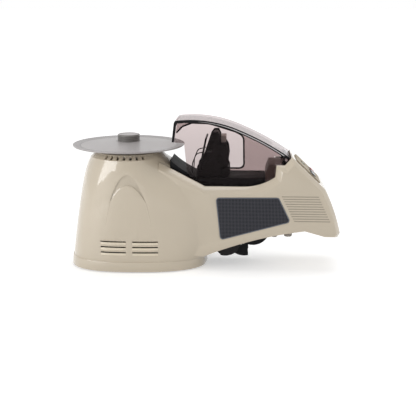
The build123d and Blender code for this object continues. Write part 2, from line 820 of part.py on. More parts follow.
with BuildPart() as smoke_cover:
    with BuildSketch(upright(cover_half)) as cover_side:
        with BuildLine():
            cover_curve()
            knuckle = ThreePointArc(
                cover_spring,
                (pivot_x + lug_radius, pivot_z),
                (pivot_x, pivot_z - lug_radius),
            )
            Polyline(
                knuckle @ 1,
                (step_x - 0.5, pivot_z - lug_radius),
                (step_x - 1.5, step_foot_z),
                (rim_end_x + 26, rim_z + 5),
                (rim_end_x, rim_z - 1),
                (rim_start_x, rim_z - 1),
                (cover_notch_x + 4.5, liner_z),
                (cover_notch_x + 2, 152.3),
                (cover_notch_x, cover_notch_z - 0.5),
                (cover_left_x, cover_notch_z + 0.7),
                (cover_left_x + 3, cover_top_z - 4),
                cover_corner,
            )
        make_face()
    extrude(cover_side.sketch, amount=2 * cover_half)
    with BuildSketch(upright(cover_half - cover_wall)) as cover_hollow:
        with BuildLine():
            hollow_top = ThreePointArc(
                (cover_left_x - 20, cover_top_z - 3.8 - cover_wall),
                (cover_crown[0], cover_crown[1] - cover_wall),
                (cover_joint[0] - 1, cover_joint[1] - cover_wall),
            )
            hollow_fall = ThreePointArc(
                hollow_top @ 1,
                (cover_sag[0] - 1.2, cover_sag[1] - cover_wall),
                (pivot_x - 1, pivot_z + knuckle_clear),
            )
            hollow_round = ThreePointArc(
                hollow_fall @ 1,
                (pivot_x + knuckle_clear * cos(radians(45)), pivot_z + knuckle_clear * sin(radians(45))),
                (pivot_x + knuckle_clear, pivot_z),
            )
            Polyline(
                hollow_round @ 1,
                (pivot_x + knuckle_clear, pivot_z - 2 * lug_radius),
                (pivot_x, rim_z - 30),
                (cover_left_x - 20, rim_z - 30),
                hollow_top @ 0,
            )
        make_face()
    extrude(cover_hollow.sketch, amount=2 * (cover_half - cover_wall), mode=Mode.SUBTRACT)
    with BuildSketch(upright(cover_half + 1)) as far_cutout:
        with BuildLine():
            Polyline(
                (cover_left_x - 10, 176.2),
                (cover_left_x + 2, 176.2),
                (cover_left_x + 10, 184.6),
                (cover_left_x + 23, 189.5),
                (cover_crown[0], cover_crown[1] - 13),
                (cover_joint[0] - 10, cover_joint[1] - 11),
                (cover_joint[0] + 1.2, cutout_corner_z),
                (cover_joint[0] + 2, cutout_low_z),
                (cover_joint[0] - 18, cutout_low_z),
                (cover_joint[0] - 18, rim_z - 15),
                (cover_left_x - 10, rim_z - 15),
                close=True,
            )
        make_face()
        fillet(far_cutout.vertices().sort_by(Axis.X)[-2:], 6)
    extrude(far_cutout.sketch, amount=cover_wall + 3, mode=Mode.SUBTRACT)
    rod(pivot_x, pivot_z, pin_radius + run_gap, -pin_reach - gap, pin_reach + gap, Mode.SUBTRACT)
    for side in (-1, 1):
        low, high = sorted((side * (bracket_y[0] - 0.5), side * (bracket_y[1] + 0.5)))
        box_between((pivot_x + 1, pivot_x + 8), (low, high), (pivot_z - 8, pivot_z + 8), Mode.SUBTRACT)
smoke_cover.part.label = "smoke_cover"
export_step(smoke_cover.part, "parts/smoke_cover.step")

# Dark edge band along the left edge and under the top edge of the near wall, and dark
# edging round the cut-out of the far wall
trim_width = 3.2
trim_thick = 0.5
edging_width = 1.0
with BuildPart() as cover_trim:
    with BuildSketch(upright(-cover_half)) as near_band:
        with BuildLine():
            band_top = ThreePointArc(cover_corner, cover_crown, cover_joint)
            band_fall = ThreePointArc(cover_joint, cover_sag, cover_spring)
            lower_end = band_fall @ 1 - Vector(1.5, trim_width)
            lower_fall = ThreePointArc(
                lower_end,
                (cover_sag[0], cover_sag[1] - trim_width),
                (cover_joint[0], cover_joint[1] - trim_width),
            )
            lower_top = ThreePointArc(
                lower_fall @ 1,
                (cover_crown[0], cover_crown[1] - trim_width),
                (cover_corner[0] + trim_width, cover_corner[1] - trim_width),
            )
            Line(band_fall @ 1, lower_end)
            Polyline(
                lower_top @ 1,
                (cover_left_x + 3 + trim_width, cover_top_z - 5 - trim_width),
                (cover_left_x + trim_width, cover_notch_z + 0.6),
                (cover_left_x, cover_notch_z + 0.7),
                (cover_left_x + 3, cover_top_z - 4),
                cover_corner,
            )
        make_face()
    extrude(near_band.sketch, amount=trim_thick)
    with BuildSketch(upright(cover_half + trim_thick)) as cutout_edging:
        add(far_cutout.sketch)
        offset(amount=edging_width)
        add(far_cutout.sketch, mode=Mode.SUBTRACT)
        add(cover_side.sketch, mode=Mode.INTERSECT)
    extrude(cutout_edging.sketch, amount=trim_thick)
cover_trim.part.label = "cover_trim"
export_step(cover_trim.part, "parts/cover_trim.step")

# Hinge of the cover
with BuildPart() as hinge_pin:
    rod(pivot_x, pivot_z, pin_radius, -pin_reach, pin_reach)
hinge_pin.part.label = "hinge_pin"
export_step(hinge_pin.part, "parts/hinge_pin.step")

with BuildPart() as hinge_brackets:
    for side in (-1, 1):
        low, high = sorted((side * bracket_y[0], side * bracket_y[1]))
        with BuildSketch(upright(high)) as bracket:
            with BuildLine():
                Polyline(
                    (pivot_x - bracket_round, pivot_z),
                    (pivot_x - bracket_round - 3, block_top),
                    (pivot_x + bracket_round + 0.5, block_top),
                    (pivot_x + bracket_round, pivot_z),
                    close=True,
                )
            make_face()
            with Locations((pivot_x, pivot_z)):
                Circle(bracket_round)
            with Locations((pivot_x, pivot_z)):
                Circle(pin_radius, mode=Mode.SUBTRACT)
        extrude(bracket.sketch, amount=high - low)
hinge_brackets.part.label = "hinge_brackets"
export_step(hinge_brackets.part, "parts/hinge_brackets.step")

# Feed tower
motor_radius = 6.8
motor_length = 31.5
motor_shaft = 1.5
feed_roller_half = 15.0
feed_centres = feed_module * (feed_teeth + feed_pinion_teeth) / 2
feed_motor_x = feed_x + feed_centres * cos(radians(feed_pinion_angle))
feed_motor_z = feed_z + feed_centres * sin(radians(feed_pinion_angle))
tie_rods = ((9.0, 169.5, 2.0), (25.0, 168.4, 2.2), (-5.2, 129.6, 2.0))
pressure_x = feed_x + feed_radius + nip + pressure_radius
plate_inner = tower_half - tower_plate


def tower_plate_sketch(y):
    """Side plate of the feed tower with its bearing holes."""
    with BuildSketch(upright(y)) as plate:
        with BuildLine():
            Polyline(
                (liner_knee_x, liner_z),
                (-8.6, 133.0),
                (-8.4, 139.0),
                (-1.0, 150.0),
                (4.5, 166.0),
                (guide_x - guide_radius - 1.8, guide_z + 2),
                (guide_x - 3, guide_z + guide_radius + 2),
                (guide_x + 3.5, guide_z + guide_radius + 2),
                (guide_x + guide_radius + 1.5, guide_z + 1),
                (guide_x + guide_radius + 1.8, 171.0),
                (29.8, 171.0),
                (33.4, 164.0),
                (34.6, 154.0),
                (33.0, 141.6),
                (arm_pivot_x + 4.4, 137.0),
                (arm_pivot_x + 4.4, liner_z),
                close=True,
            )
        make_face()
        with Locations((feed_x, feed_z), (arm_pivot_x, arm_pivot_z), (guide_x, guide_z)):
            Circle(roller_shaft + run_gap, mode=Mode.SUBTRACT)
        with Locations((7.5, 161.4)):
            Rectangle(7, 4.4, mode=Mode.SUBTRACT)
        with Locations((pressure_x, feed_z)):
            Circle(roller_shaft + 2.2, mode=Mode.SUBTRACT)
    return plate.sketch


lever_x = -4.8
lever_z = 135.0
lever_pin = 1.8
with BuildPart() as tower_plate_near:
    extrude(tower_plate_sketch(-plate_inner), amount=tower_plate)
    rod(lever_x, lever_z, lever_pin, -tower_half - 4, -tower_half)
tower_plate_near.part.label = "tower_plate_near"
export_step(tower_plate_near.part, "parts/tower_plate_near.step")

with BuildPart() as tower_plate_far:
    extrude(tower_plate_sketch(tower_half), amount=tower_plate)
    rod(feed_motor_x, feed_motor_z, 3, plate_inner - 1, tower_half + 1, Mode.SUBTRACT)
tower_plate_far.part.label = "tower_plate_far"
export_step(tower_plate_far.part, "parts/tower_plate_far.step")

with BuildPart() as tower_tie_rods:
    for x, z, radius in tie_rods:
        rod(x, z, radius, -plate_inner, plate_inner)
tower_tie_rods.part.label = "tower_tie_rods"
export_step(tower_tie_rods.part, "parts/tower_tie_rods.step")

with BuildPart() as guide_shaft:
    rod(guide_x, guide_z, roller_shaft, -tower_half - 0.6, tower_half + 0.6)
guide_shaft.part.label = "guide_shaft"
export_step(guide_shaft.part, "parts/guide_shaft.step")

with BuildPart() as guide_roller:
    rod(guide_x, guide_z, guide_radius, gap - plate_inner, plate_inner - gap)
    rod(guide_x, guide_z, roller_shaft + run_gap, -plate_inner, plate_inner, Mode.SUBTRACT)
guide_roller.part.label = "guide_roller"
export_step(guide_roller.part, "parts/guide_roller.step")

gear_near = tower_half + 0.8
with BuildPart() as feed_shaft:
    rod(feed_x, feed_z, roller_shaft, -tower_half - 0.6, gear_near + gear_width)
feed_shaft.part.label = "feed_shaft"
export_step(feed_shaft.part, "parts/feed_shaft.step")

with BuildPart() as feed_roller:
    rod(feed_x, feed_z, feed_radius, -feed_roller_half, feed_roller_half)
    rod(feed_x, feed_z, roller_shaft, -feed_roller_half - 1, feed_roller_half + 1, Mode.SUBTRACT)
feed_roller.part.label = "feed_roller"
export_step(feed_roller.part, "parts/feed_roller.step")

with BuildPart() as feed_gear:
    gear(
        feed_x,
        feed_z,
        feed_teeth,
        feed_module,
        feed_pinion_angle,
        roller_shaft,
        gear_near,
        gear_near + gear_width,
    )
feed_gear.part.label = "feed_gear"
export_step(feed_gear.part, "parts/feed_gear.step")

with BuildPart() as feed_pinion:
    gear(
        feed_motor_x,
        feed_motor_z,
        feed_pinion_teeth,
        feed_module,
        feed_pinion_angle + 180 + 180 / feed_pinion_teeth,
        motor_shaft - 0.5,
        gear_near,
        gear_near + gear_width,
    )
    rod(feed_motor_x, feed_motor_z, motor_shaft, 6, gear_near + gear_width)
feed_pinion.part.label = "feed_pinion"
export_step(feed_pinion.part, "parts/feed_pinion.step")

with BuildPart() as feed_motor:
    rod(feed_motor_x, feed_motor_z, motor_radius, plate_inner - motor_length, plate_inner)
    rod(feed_motor_x, feed_motor_z, motor_shaft + run_gap, 5, plate_inner + 1, Mode.SUBTRACT)
feed_motor.part.label = "feed_motor"
export_step(feed_motor.part, "parts/feed_motor.step")

# Pressure roller on its swinging arm
cheek_y = (14.8, 16.8)
cheek_width = 8.0
bridge_radius = 1.5
with BuildPart() as pressure_arm:
    reach = hypot(arm_pivot_x - pressure_x, arm_pivot_z - feed_z)
    lean = degrees(atan2(feed_z - arm_pivot_z, pressure_x - arm_pivot_x))
    for side in (-1, 1):
        low, high = sorted((side * cheek_y[0], side * cheek_y[1]))
        with BuildSketch(upright(high)) as cheek:
            middle = ((arm_pivot_x + pressure_x) / 2, (arm_pivot_z + feed_z) / 2)
            with Locations(Location((middle[0], middle[1]), lean)):
                SlotCenterToCenter(reach, cheek_width)
            with Locations((arm_pivot_x, arm_pivot_z)):
                Circle(roller_shaft + run_gap, mode=Mode.SUBTRACT)
        extrude(cheek.sketch, amount=high - low)
    rod(pressure_x, feed_z, roller_shaft, -cheek_y[1], cheek_y[1])
    bridge_x = middle[0] + 3.4
    bridge_z = middle[1] + 0.5
    rod(bridge_x, bridge_z, bridge_radius, -cheek_y[1], cheek_y[1])
pressure_arm.part.label = "pressure_arm"
export_step(pressure_arm.part, "parts/pressure_arm.step")

with BuildPart() as pressure_roller:
    rod(pressure_x, feed_z, pressure_radius, gap - cheek_y[0], cheek_y[0] - gap)
    rod(pressure_x, feed_z, roller_shaft + run_gap, -cheek_y[1], cheek_y[1], Mode.SUBTRACT)
pressure_roller.part.label = "pressure_roller"
export_step(pressure_roller.part, "parts/pressure_roller.step")

knob_radius = 6.0
knob_width = 5.7
with BuildPart() as pivot_knob:
    rod(arm_pivot_x, arm_pivot_z, roller_shaft, -tower_half - 2, tower_half + 0.6)
    rod(arm_pivot_x, arm_pivot_z, knob_radius, -tower_half - gap - knob_width, -tower_half - gap)
pivot_knob.part.label = "pivot_knob"
export_step(pivot_knob.part, "parts/pivot_knob.step")

sensor_x = (guide_x + guide_radius + 2.2, 30.2)
sensor_z = (171.0, 179.3)
sensor_half = 12.0
foot_x, foot_z, foot_rod = tie_rods[1]
with BuildPart() as tape_sensor:
    box_between(sensor_x, (-sensor_half, sensor_half), sensor_z)
    box_between(
        (foot_x - 1.5, foot_x + 1.5),
        (-sensor_half, sensor_half),
        (foot_z + foot_rod, sensor_z[0]),
    )
tape_sensor.part.label = "tape_sensor"
export_step(tape_sensor.part, "parts/tape_sensor.step")

# Tension lever with its dancer rod
dancer_x = 3.6
dancer_z = 176.3
dancer_radius = 1.3
lever_width = 2.6
lever_eye = 3.2
lever_y = (-tower_half - 2.6, -tower_half - 0.6)
with BuildPart() as tension_lever:
    with BuildSketch(upright(lever_y[1])) as lever:
        middle = ((lever_x + dancer_x) / 2, (lever_z + dancer_z) / 2)
        lean = degrees(atan2(dancer_z - lever_z, dancer_x - lever_x))
        with Locations(Location((middle[0], middle[1]), lean)):
            SlotCenterToCenter(hypot(dancer_x - lever_x, dancer_z - lever_z), lever_width)
        with Locations((lever_x, lever_z)):
            Circle(lever_eye)
            Circle(lever_pin + run_gap, mode=Mode.SUBTRACT)
    extrude(lever.sketch, amount=lever_y[1] - lever_y[0])
    rod(dancer_x, dancer_z, dancer_radius, lever_y[0], tower_half)
tension_lever.part.label = "tension_lever"
export_step(tension_lever.part, "parts/tension_lever.step")

# Bent wire guides that lead the tape into the tower
wire_radius = 0.7
with BuildPart() as guide_wires:
    for side in (-1, 1):
        wire_y = side * (tower_half - tower_plate / 2)
        with BuildLine() as wire_path:
            FilletPolyline(
                (-15.3, wire_y, 129.9),
                (-14.6, wire_y, 143.0),
                (-9.5, wire_y, 156.0),
                (1.4, wire_y, 158.5),
                radius=7,
            )
        with BuildSketch(Plane(wire_path.line @ 0, z_dir=wire_path.line % 0)) as wire_round:
            Circle(wire_radius)
        sweep(wire_round.sketch, path=wire_path.line)
guide_wires.part.label = "guide_wires"
export_step(guide_wires.part, "parts/guide_wires.step")

# Cutter under the tape window
tape_x = feed_x + feed_radius + nip / 2
blade_half = 14.5
blade_thick = 1.8
shear_z = slide_top - slide_thick - blade_thick
fixed_x = (3.0, 6.4)
with BuildPart() as fixed_blade:
    box_between((fixed_x[0], tape_x - 0.6), (-blade_half, blade_half), (shear_z - 1.6, shear_z - 0.1))
    box_between(fixed_x, (-blade_half, blade_half), (shear_z - 1.6, liner_z - liner_wall))
fixed_blade.part.label = "fixed_blade"
export_step(fixed_blade.part, "parts/fixed_blade.step")

with BuildPart() as moving_blade:
    box_between(
        (tape_x + 0.8, tape_window_right + 3), (-blade_half, blade_half), (shear_z, shear_z + blade_thick)
    )
    cutting_edges = moving_blade.edges().filter_by(Axis.Y).group_by(Axis.X)[0]
    chamfer(cutting_edges.sort_by(Axis.Z)[-1], 1.2)
moving_blade.part.label = "moving_blade"
export_step(moving_blade.part, "parts/moving_blade.step")

solenoid_x = (62.0, 80.0)
solenoid_half = 9.0
plunger_z = slide_top - 7.2
plunger_radius = 2.6
plunger_length = 17.0
with BuildPart() as blade_slide:
    box_between(
        (tape_x + 6, tape_window_right + 3),
        (-blade_half, blade_half),
        (slide_top - slide_thick, slide_top),
    )
    box_between(
        (tape_window_right, solenoid_x[0] - 4),
        (-slide_half, slide_half),
        (slide_top - slide_thick, slide_top),
    )
    box_between(
        (solenoid_x[0] - 6, solenoid_x[0] - 4), (-4, 4), (plunger_z - plunger_radius, slide_top)
    )
    with Locations(Plane(origin=(solenoid_x[0] - 5, 0, plunger_z), z_dir=(1, 0, 0))):
        Cylinder(plunger_radius, plunger_length, align=(Align.CENTER, Align.CENTER, Align.MIN))
blade_slide.part.label = "blade_slide"
export_step(blade_slide.part, "parts/blade_slide.step")

with BuildPart() as cutter_solenoid:
    box_between(solenoid_x, (-solenoid_half, solenoid_half), (plunger_z - 7, liner_z - liner_wall))
    with Locations(Plane(origin=(solenoid_x[0] - 1, 0, plunger_z), z_dir=(1, 0, 0))):
        Cylinder(
            plunger_radius + run_gap,
            plunger_length - 2,
            align=(Align.CENTER, Align.CENTER, Align.MIN),
            mode=Mode.SUBTRACT,
        )
cutter_solenoid.part.label = "cutter_solenoid"
export_step(cutter_solenoid.part, "parts/cutter_solenoid.step")

# Carousel wheel
station_step = 360 / wheel_stations
first_tip = -station_step / 2
ramp_turn = 36.6
ramp_bulge = 43.8


def wheel_point(radius, angle):
    """Point of the wheel's outline, by radius and angle in degrees."""
    return (wheel_x + radius * cos(radians(angle)), wheel_z + radius * sin(radians(angle)))


def wheel_sketch(y, bore):
    """Saw-toothed outline: from each tip a rounded ramp falls to a valley, then a steep step."""
    with BuildSketch(upright(y)) as outline:
        with BuildLine():
            for station in range(wheel_stations):
                tip = first_tip + station * station_step
                ThreePointArc(
                    wheel_point(wheel_radius, tip),
                    wheel_point(ramp_bulge, tip - ramp_turn / 2),
                    wheel_point(wheel_valley, tip - ramp_turn),
                )
                Line(
                    wheel_point(wheel_valley, tip - ramp_turn),
                    wheel_point(wheel_radius, tip - station_step),
                )
        make_face()
        with Locations((wheel_x, wheel_z)):
            Circle(bore, mode=Mode.SUBTRACT)
    return outline.sketch


with BuildPart() as carousel_plate_near:
    extrude(wheel_sketch(wheel_near + wheel_plate, shaft_radius), amount=wheel_plate)
carousel_plate_near.part.label = "carousel_plate_near"
export_step(carousel_plate_near.part, "parts/carousel_plate_near.step")

with BuildPart() as carousel_plate_far:
    extrude(wheel_sketch(wheel_far, shaft_radius), amount=wheel_plate)
carousel_plate_far.part.label = "carousel_plate_far"
export_step(carousel_plate_far.part, "parts/carousel_plate_far.step")

paddle_thick = 2.4
pad_thick = 1.2
paddle_low = wheel_near + wheel_plate
paddle_high = wheel_far - wheel_plate
paddle_lean = 3.0
gear_y = wheel_near - 6
nut_radius = 9.0
nut_thick = 5.0
with BuildPart() as carousel_hub:
    rod(wheel_x, wheel_z, hub_radius, paddle_low, paddle_high)
    with BuildSketch(upright(paddle_high)) as paddles:
        with Locations((wheel_x, wheel_z)):
            with PolarLocations(
                (hub_radius + wheel_radius - pad_thick) / 2 - 1,
                wheel_stations,
                start_angle=first_tip - paddle_lean,
            ):
                Rectangle(wheel_radius - pad_thick - hub_radius + 2, paddle_thick)
    extrude(paddles.sketch, amount=paddle_high - paddle_low)
    rod(wheel_x, wheel_z, shaft_radius, paddle_low - 1, paddle_high + 1, Mode.SUBTRACT)
carousel_hub.part.label = "carousel_hub"
export_step(carousel_hub.part, "parts/carousel_hub.step")

with BuildPart() as tip_pads:
    with BuildSketch(upright(paddle_high - 1)) as pads:
        with Locations((wheel_x, wheel_z)):
            with PolarLocations(
                wheel_radius - pad_thick / 2, wheel_stations, start_angle=first_tip - paddle_lean
            ):
                Rectangle(pad_thick, paddle_thick + 1.2)
    extrude(pads.sketch, amount=paddle_high - paddle_low - 2)
tip_pads.part.label = "tip_pads"
export_step(tip_pads.part, "parts/tip_pads.step")

with BuildPart() as carousel_shaft:
    rod(wheel_x, wheel_z, shaft_radius, gear_y - 6, wheel_far + nut_thick + 2)
carousel_shaft.part.label = "carousel_shaft"
export_step(carousel_shaft.part, "parts/carousel_shaft.step")

with BuildPart() as carousel_gear:
    gear(
        wheel_x, wheel_z, carousel_teeth, carousel_module, carousel_pinion_angle, shaft_radius,
        gear_y, gear_y + gear_width,
    )
    with BuildSketch(upright(wheel_near)) as collar:
        with Locations((wheel_x, wheel_z)):
            Circle(hub_radius - 2)
            Circle(shaft_radius, mode=Mode.SUBTRACT)
    extrude(collar.sketch, amount=wheel_near - gear_y - gear_width)
carousel_gear.part.label = "carousel_gear"
export_step(carousel_gear.part, "parts/carousel_gear.step")

with BuildPart() as wheel_nut:
    with BuildSketch(upright(wheel_far + nut_thick)) as nut:
        with Locations((wheel_x, wheel_z)):
            RegularPolygon(nut_radius, 6)
            Circle(shaft_radius, mode=Mode.SUBTRACT)
    extrude(nut.sketch, amount=nut_thick)
wheel_nut.part.label = "wheel_nut"
export_step(wheel_nut.part, "parts/wheel_nut.step")

# Frame plate, standoffs, motor and pinion of the carousel
frame_y = gear_y - 1.7
frame_corners = ((7.0, 98.0), (90.0, 101.0), (90.0, 57.0), (7.0, 40.0))
standoff_radius = 3.5
bush_radius = 8.0
pinion_hole = 5.0
drive_body = 14.5
drive_shaft = 2.0
# Rounded apron of the frame plate that shows under the arm, left of the lowest tooth
apron_start = (23.3, 15.5)
apron_middle = (34.6, 15.2)
apron_end = (46.0, 21.0)
with BuildPart() as carousel_frame:
    with BuildSketch(upright(frame_y)) as frame_plate:
        with BuildLine():
            apron = ThreePointArc(apron_start, apron_middle, apron_end)
            Polyline(
                apron @ 1,
                (60, 48),
                (94, 52),
                (94, 106),
                (3, 106),
                (3, 35),
                (apron_start[0], 40),
                apron @ 0,
            )
        make_face()
        fillet(frame_plate.vertices().group_by(Axis.Y)[-1], 4)
        with Locations((wheel_x, wheel_z)):
            Circle(shaft_radius + run_gap, mode=Mode.SUBTRACT)
        with Locations((pinion_x, pinion_z)):
            Circle(pinion_hole, mode=Mode.SUBTRACT)
    extrude(frame_plate.sketch, amount=steel)
    with BuildSketch(upright(gear_y - gap)) as bush:
        with Locations((wheel_x, wheel_z)):
            Circle(bush_radius)
            Circle(shaft_radius + run_gap, mode=Mode.SUBTRACT)
    extrude(bush.sketch, amount=gear_y - gap - frame_y)
carousel_frame.part.label = "carousel_frame"
export_step(carousel_frame.part, "parts/carousel_frame.step")

with BuildPart() as frame_standoffs:
    for x, z in frame_corners:
        rod(x, z, standoff_radius, wall - arm_half, frame_y - steel)
frame_standoffs.part.label = "frame_standoffs"
export_step(frame_standoffs.part, "parts/frame_standoffs.step")

with BuildPart() as carousel_motor:
    rod(pinion_x, pinion_z, drive_body, wall - arm_half + gap, frame_y - steel)
    rod(pinion_x, pinion_z, drive_shaft + run_gap, frame_y - steel - 10, frame_y, Mode.SUBTRACT)
carousel_motor.part.label = "carousel_motor"
export_step(carousel_motor.part, "parts/carousel_motor.step")

with BuildPart() as carousel_pinion:
    gear(
        pinion_x,
        pinion_z,
        carousel_pinion_teeth,
        carousel_module,
        carousel_pinion_angle + 180 + 180 / carousel_pinion_teeth,
        drive_shaft - 0.5,
        gear_y,
        gear_y + gear_width,
    )
    rod(pinion_x, pinion_z, drive_shaft, frame_y - steel - 9, gear_y + gear_width)
carousel_pinion.part.label = "carousel_pinion"
export_step(carousel_pinion.part, "parts/carousel_pinion.step")

# Control panel, its buttons and lens, and the board behind it
with BuildPart() as control_panel:
    with BuildSketch(panel_plane.offset(-panel_sink)) as panel:
        RectangleRounded(panel_length, panel_width, panel_round)
        with Locations(*button_places):
            Circle(button_radius + gap, mode=Mode.SUBTRACT)
        with Locations(lens_place):
            Circle(lens_radius, mode=Mode.SUBTRACT)
    extrude(panel.sketch, amount=panel_thick)
control_panel.part.label = "control_panel"
export_step(control_panel.part, "parts/control_panel.step")

for number, place in enumerate(button_places, start=1):
    with BuildPart() as push_button:
        with BuildSketch(panel_plane.offset(flange_top - flange_thick)) as flange:
            with Locations(place):
                Circle(button_flange)
        extrude(flange.sketch, amount=flange_thick)
        with BuildSketch(panel_plane.offset(flange_top)) as cap:
            with Locations(place):
                Circle(button_radius)
        extrude(cap.sketch, amount=panel_thick - panel_sink + button_stand - flange_top)
        with BuildSketch(panel_plane.offset(gap + button_travel - board_drop)) as stem:
            with Locations(place):
                Circle(stem_radius)
        extrude(stem.sketch, amount=board_drop + flange_top - 1 - gap - button_travel)
    push_button.part.label = f"push_button_{number}"
    export_step(push_button.part, f"parts/push_button_{number}.step")

with BuildPart() as indicator_lens:
    with BuildSketch(panel_plane.offset(-board_drop)) as lens:
        with Locations(lens_place):
            Circle(lens_radius)
    extrude(lens.sketch, amount=board_drop + panel_thick - panel_sink + 0.4)
indicator_lens.part.label = "indicator_lens"
export_step(indicator_lens.part, "parts/indicator_lens.step")

with BuildPart() as control_board:
    with BuildSketch(panel_plane.offset(-board_drop - board)) as board_face:
        Rectangle(panel_length - 8, panel_width - 4)
    extrude(board_face.sketch, amount=board)
control_board.part.label = "control_board"
export_step(control_board.part, "parts/control_board.step")

# Power plate on the hidden side of the turret, with switch and inlet
plate_thick = 3.0
socket_radius = 5.5
flange_radius = 7.5
socket_stand = 0.4
rocker_x = power_x + 9
inlet_x = power_x - 13
rocker_half = 8.6
rocker_axis = power_y - 2.5
rocker_bulge = 5.5
rocker_width = 11.6
rocker_pin = 1.0
rocker_tilt = 7.0
well_side = (6.3, 10.6)
with BuildPart() as power_plate:
    box_between(
        (power_x - power_width / 2, power_x + power_width / 2),
        (power_y, power_y + plate_thick),
        (power_z - power_height / 2, power_z + power_height / 2),
    )
    fillet(power_plate.edges().filter_by(Axis.Y), 3)
    box_between(
        (rocker_x - well_side[0], rocker_x + well_side[0]),
        (power_y - 1, power_y + 4),
        (power_z - well_side[1], power_z + well_side[1]),
        Mode.SUBTRACT,
    )
    rod(inlet_x, power_z, socket_radius, power_y - 1, power_y + plate_thick + 1, Mode.SUBTRACT)
power_plate.part.label = "power_plate"
export_step(power_plate.part, "parts/power_plate.step")

with BuildPart() as inlet_socket:
    socket_face = power_y + plate_thick + socket_stand
    rod(inlet_x, power_z, socket_radius, power_y - 11, socket_face)
    rod(inlet_x, power_z, flange_radius, power_y - 3, power_y)
    rod(inlet_x, power_z, inlet_radius, socket_face - inlet_depth, socket_face + 1, Mode.SUBTRACT)
inlet_socket.part.label = "inlet_socket"
export_step(inlet_socket.part, "parts/inlet_socket.step")

with BuildPart() as switch_body:
    box_between(
        (rocker_x - well_side[0] - 2, rocker_x + well_side[0] + 2),
        (power_y - 13, power_y),
        (power_z - well_side[1] - 2, power_z + well_side[1] + 2),
    )
    box_between(
        (rocker_x - well_side[0], rocker_x + well_side[0]),
        (power_y - 11, power_y + 1),
        (power_z - well_side[1], power_z + well_side[1]),
        Mode.SUBTRACT,
    )
    with Locations(Plane(origin=(rocker_x, rocker_axis, power_z), z_dir=(1, 0, 0))):
        Cylinder(rocker_pin + run_gap, 2 * well_side[0] + 6, mode=Mode.SUBTRACT)
switch_body.part.label = "switch_body"
export_step(switch_body.part, "parts/switch_body.step")

with BuildPart() as power_rocker:
    rocker_side = Plane(
        origin=(rocker_x + rocker_width / 2, rocker_axis, power_z), x_dir=(0, 1, 0), z_dir=(1, 0, 0)
    )
    with BuildSketch(rocker_side):
        with BuildLine(Location((0, 0), rocker_tilt)):
            Polyline(
                (rocker_bulge, -rocker_half),
                (rocker_bulge - 1.6, 0),
                (rocker_bulge, rocker_half),
                (-1, rocker_half - 1.5),
                (-4, 0),
                (-1, 1.5 - rocker_half),
                close=True,
            )
        make_face()
    extrude(amount=-rocker_width)
    with Locations(Plane(origin=(rocker_x, rocker_axis, power_z), z_dir=(1, 0, 0))):
        Cylinder(rocker_pin, 2 * well_side[0] + 3)
power_rocker.part.label = "power_rocker"
export_step(power_rocker.part, "parts/power_rocker.step")
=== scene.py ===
import json
from math import atan2, cos, hypot, pi, radians, sin

import bmesh
import bpy
from bpy.props import FloatProperty, FloatVectorProperty, IntProperty, PointerProperty
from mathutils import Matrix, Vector
from mathutils.bvhtree import BVHTree


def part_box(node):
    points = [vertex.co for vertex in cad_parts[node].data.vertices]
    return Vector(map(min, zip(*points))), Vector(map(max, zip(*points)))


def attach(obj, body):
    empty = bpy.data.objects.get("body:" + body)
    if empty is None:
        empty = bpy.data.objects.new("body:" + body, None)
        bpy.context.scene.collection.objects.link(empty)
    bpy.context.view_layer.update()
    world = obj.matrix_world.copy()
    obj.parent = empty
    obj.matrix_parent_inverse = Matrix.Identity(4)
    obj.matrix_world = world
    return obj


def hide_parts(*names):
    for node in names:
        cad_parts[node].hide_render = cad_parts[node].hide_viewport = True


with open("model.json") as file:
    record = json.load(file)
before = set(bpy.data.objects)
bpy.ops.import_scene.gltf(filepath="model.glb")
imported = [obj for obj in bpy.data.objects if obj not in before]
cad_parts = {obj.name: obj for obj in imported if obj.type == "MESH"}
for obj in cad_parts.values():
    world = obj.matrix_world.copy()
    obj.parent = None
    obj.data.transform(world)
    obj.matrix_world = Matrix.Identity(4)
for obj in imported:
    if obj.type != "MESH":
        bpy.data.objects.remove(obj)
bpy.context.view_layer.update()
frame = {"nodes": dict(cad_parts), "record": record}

# Electric tape dispenser: finishes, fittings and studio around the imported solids.
# Lengths are metres in the frame of the solids: the nose points along +X, the closed
# side of the housing faces -Y, and the origin is on the table under the middle.

bl_info = {
    "name": "Tape Dispenser Looks",
    "version": (1, 1, 0),
    "blender": (4, 5, 0),
    "location": "3D View > Sidebar > Dispenser",
    "description": "Finishes, small fittings and a studio for an electric tape dispenser",
    "category": "Object",
}

MM = 0.001
BODY_OF = {node: body for body, nodes in frame["record"]["behaviour"]["bodies"].items() for node in nodes}
SLOT_OF = {part["node"]: part["material_slot"] for part in frame["record"]["subparts"]}
COLLECTION = bpy.context.scene.collection
ARCH_X = -98.5 * MM  # upright middle line of the turret's arch


def colour_property(name, text, rgb):
    """A linear colour with a swatch in the panel."""
    return FloatVectorProperty(
        name=name, description=text, default=rgb, size=3, min=0, max=1, subtype="COLOR"
    )


def length_property(name, text, millimetres):
    """A length, kept in metres and given in millimetres."""
    return FloatProperty(
        name=name, description=text, default=millimetres * MM, min=0, unit="LENGTH", precision=5
    )


def count_property(name, text, count):
    """A whole number of repeated pieces."""
    return IntProperty(name=name, description=text, default=count, min=3, max=200)


def light_property(name, text, strength, unit="NONE"):
    """A power or a strength of light."""
    return FloatProperty(name=name, description=text, default=strength, min=0, unit=unit)


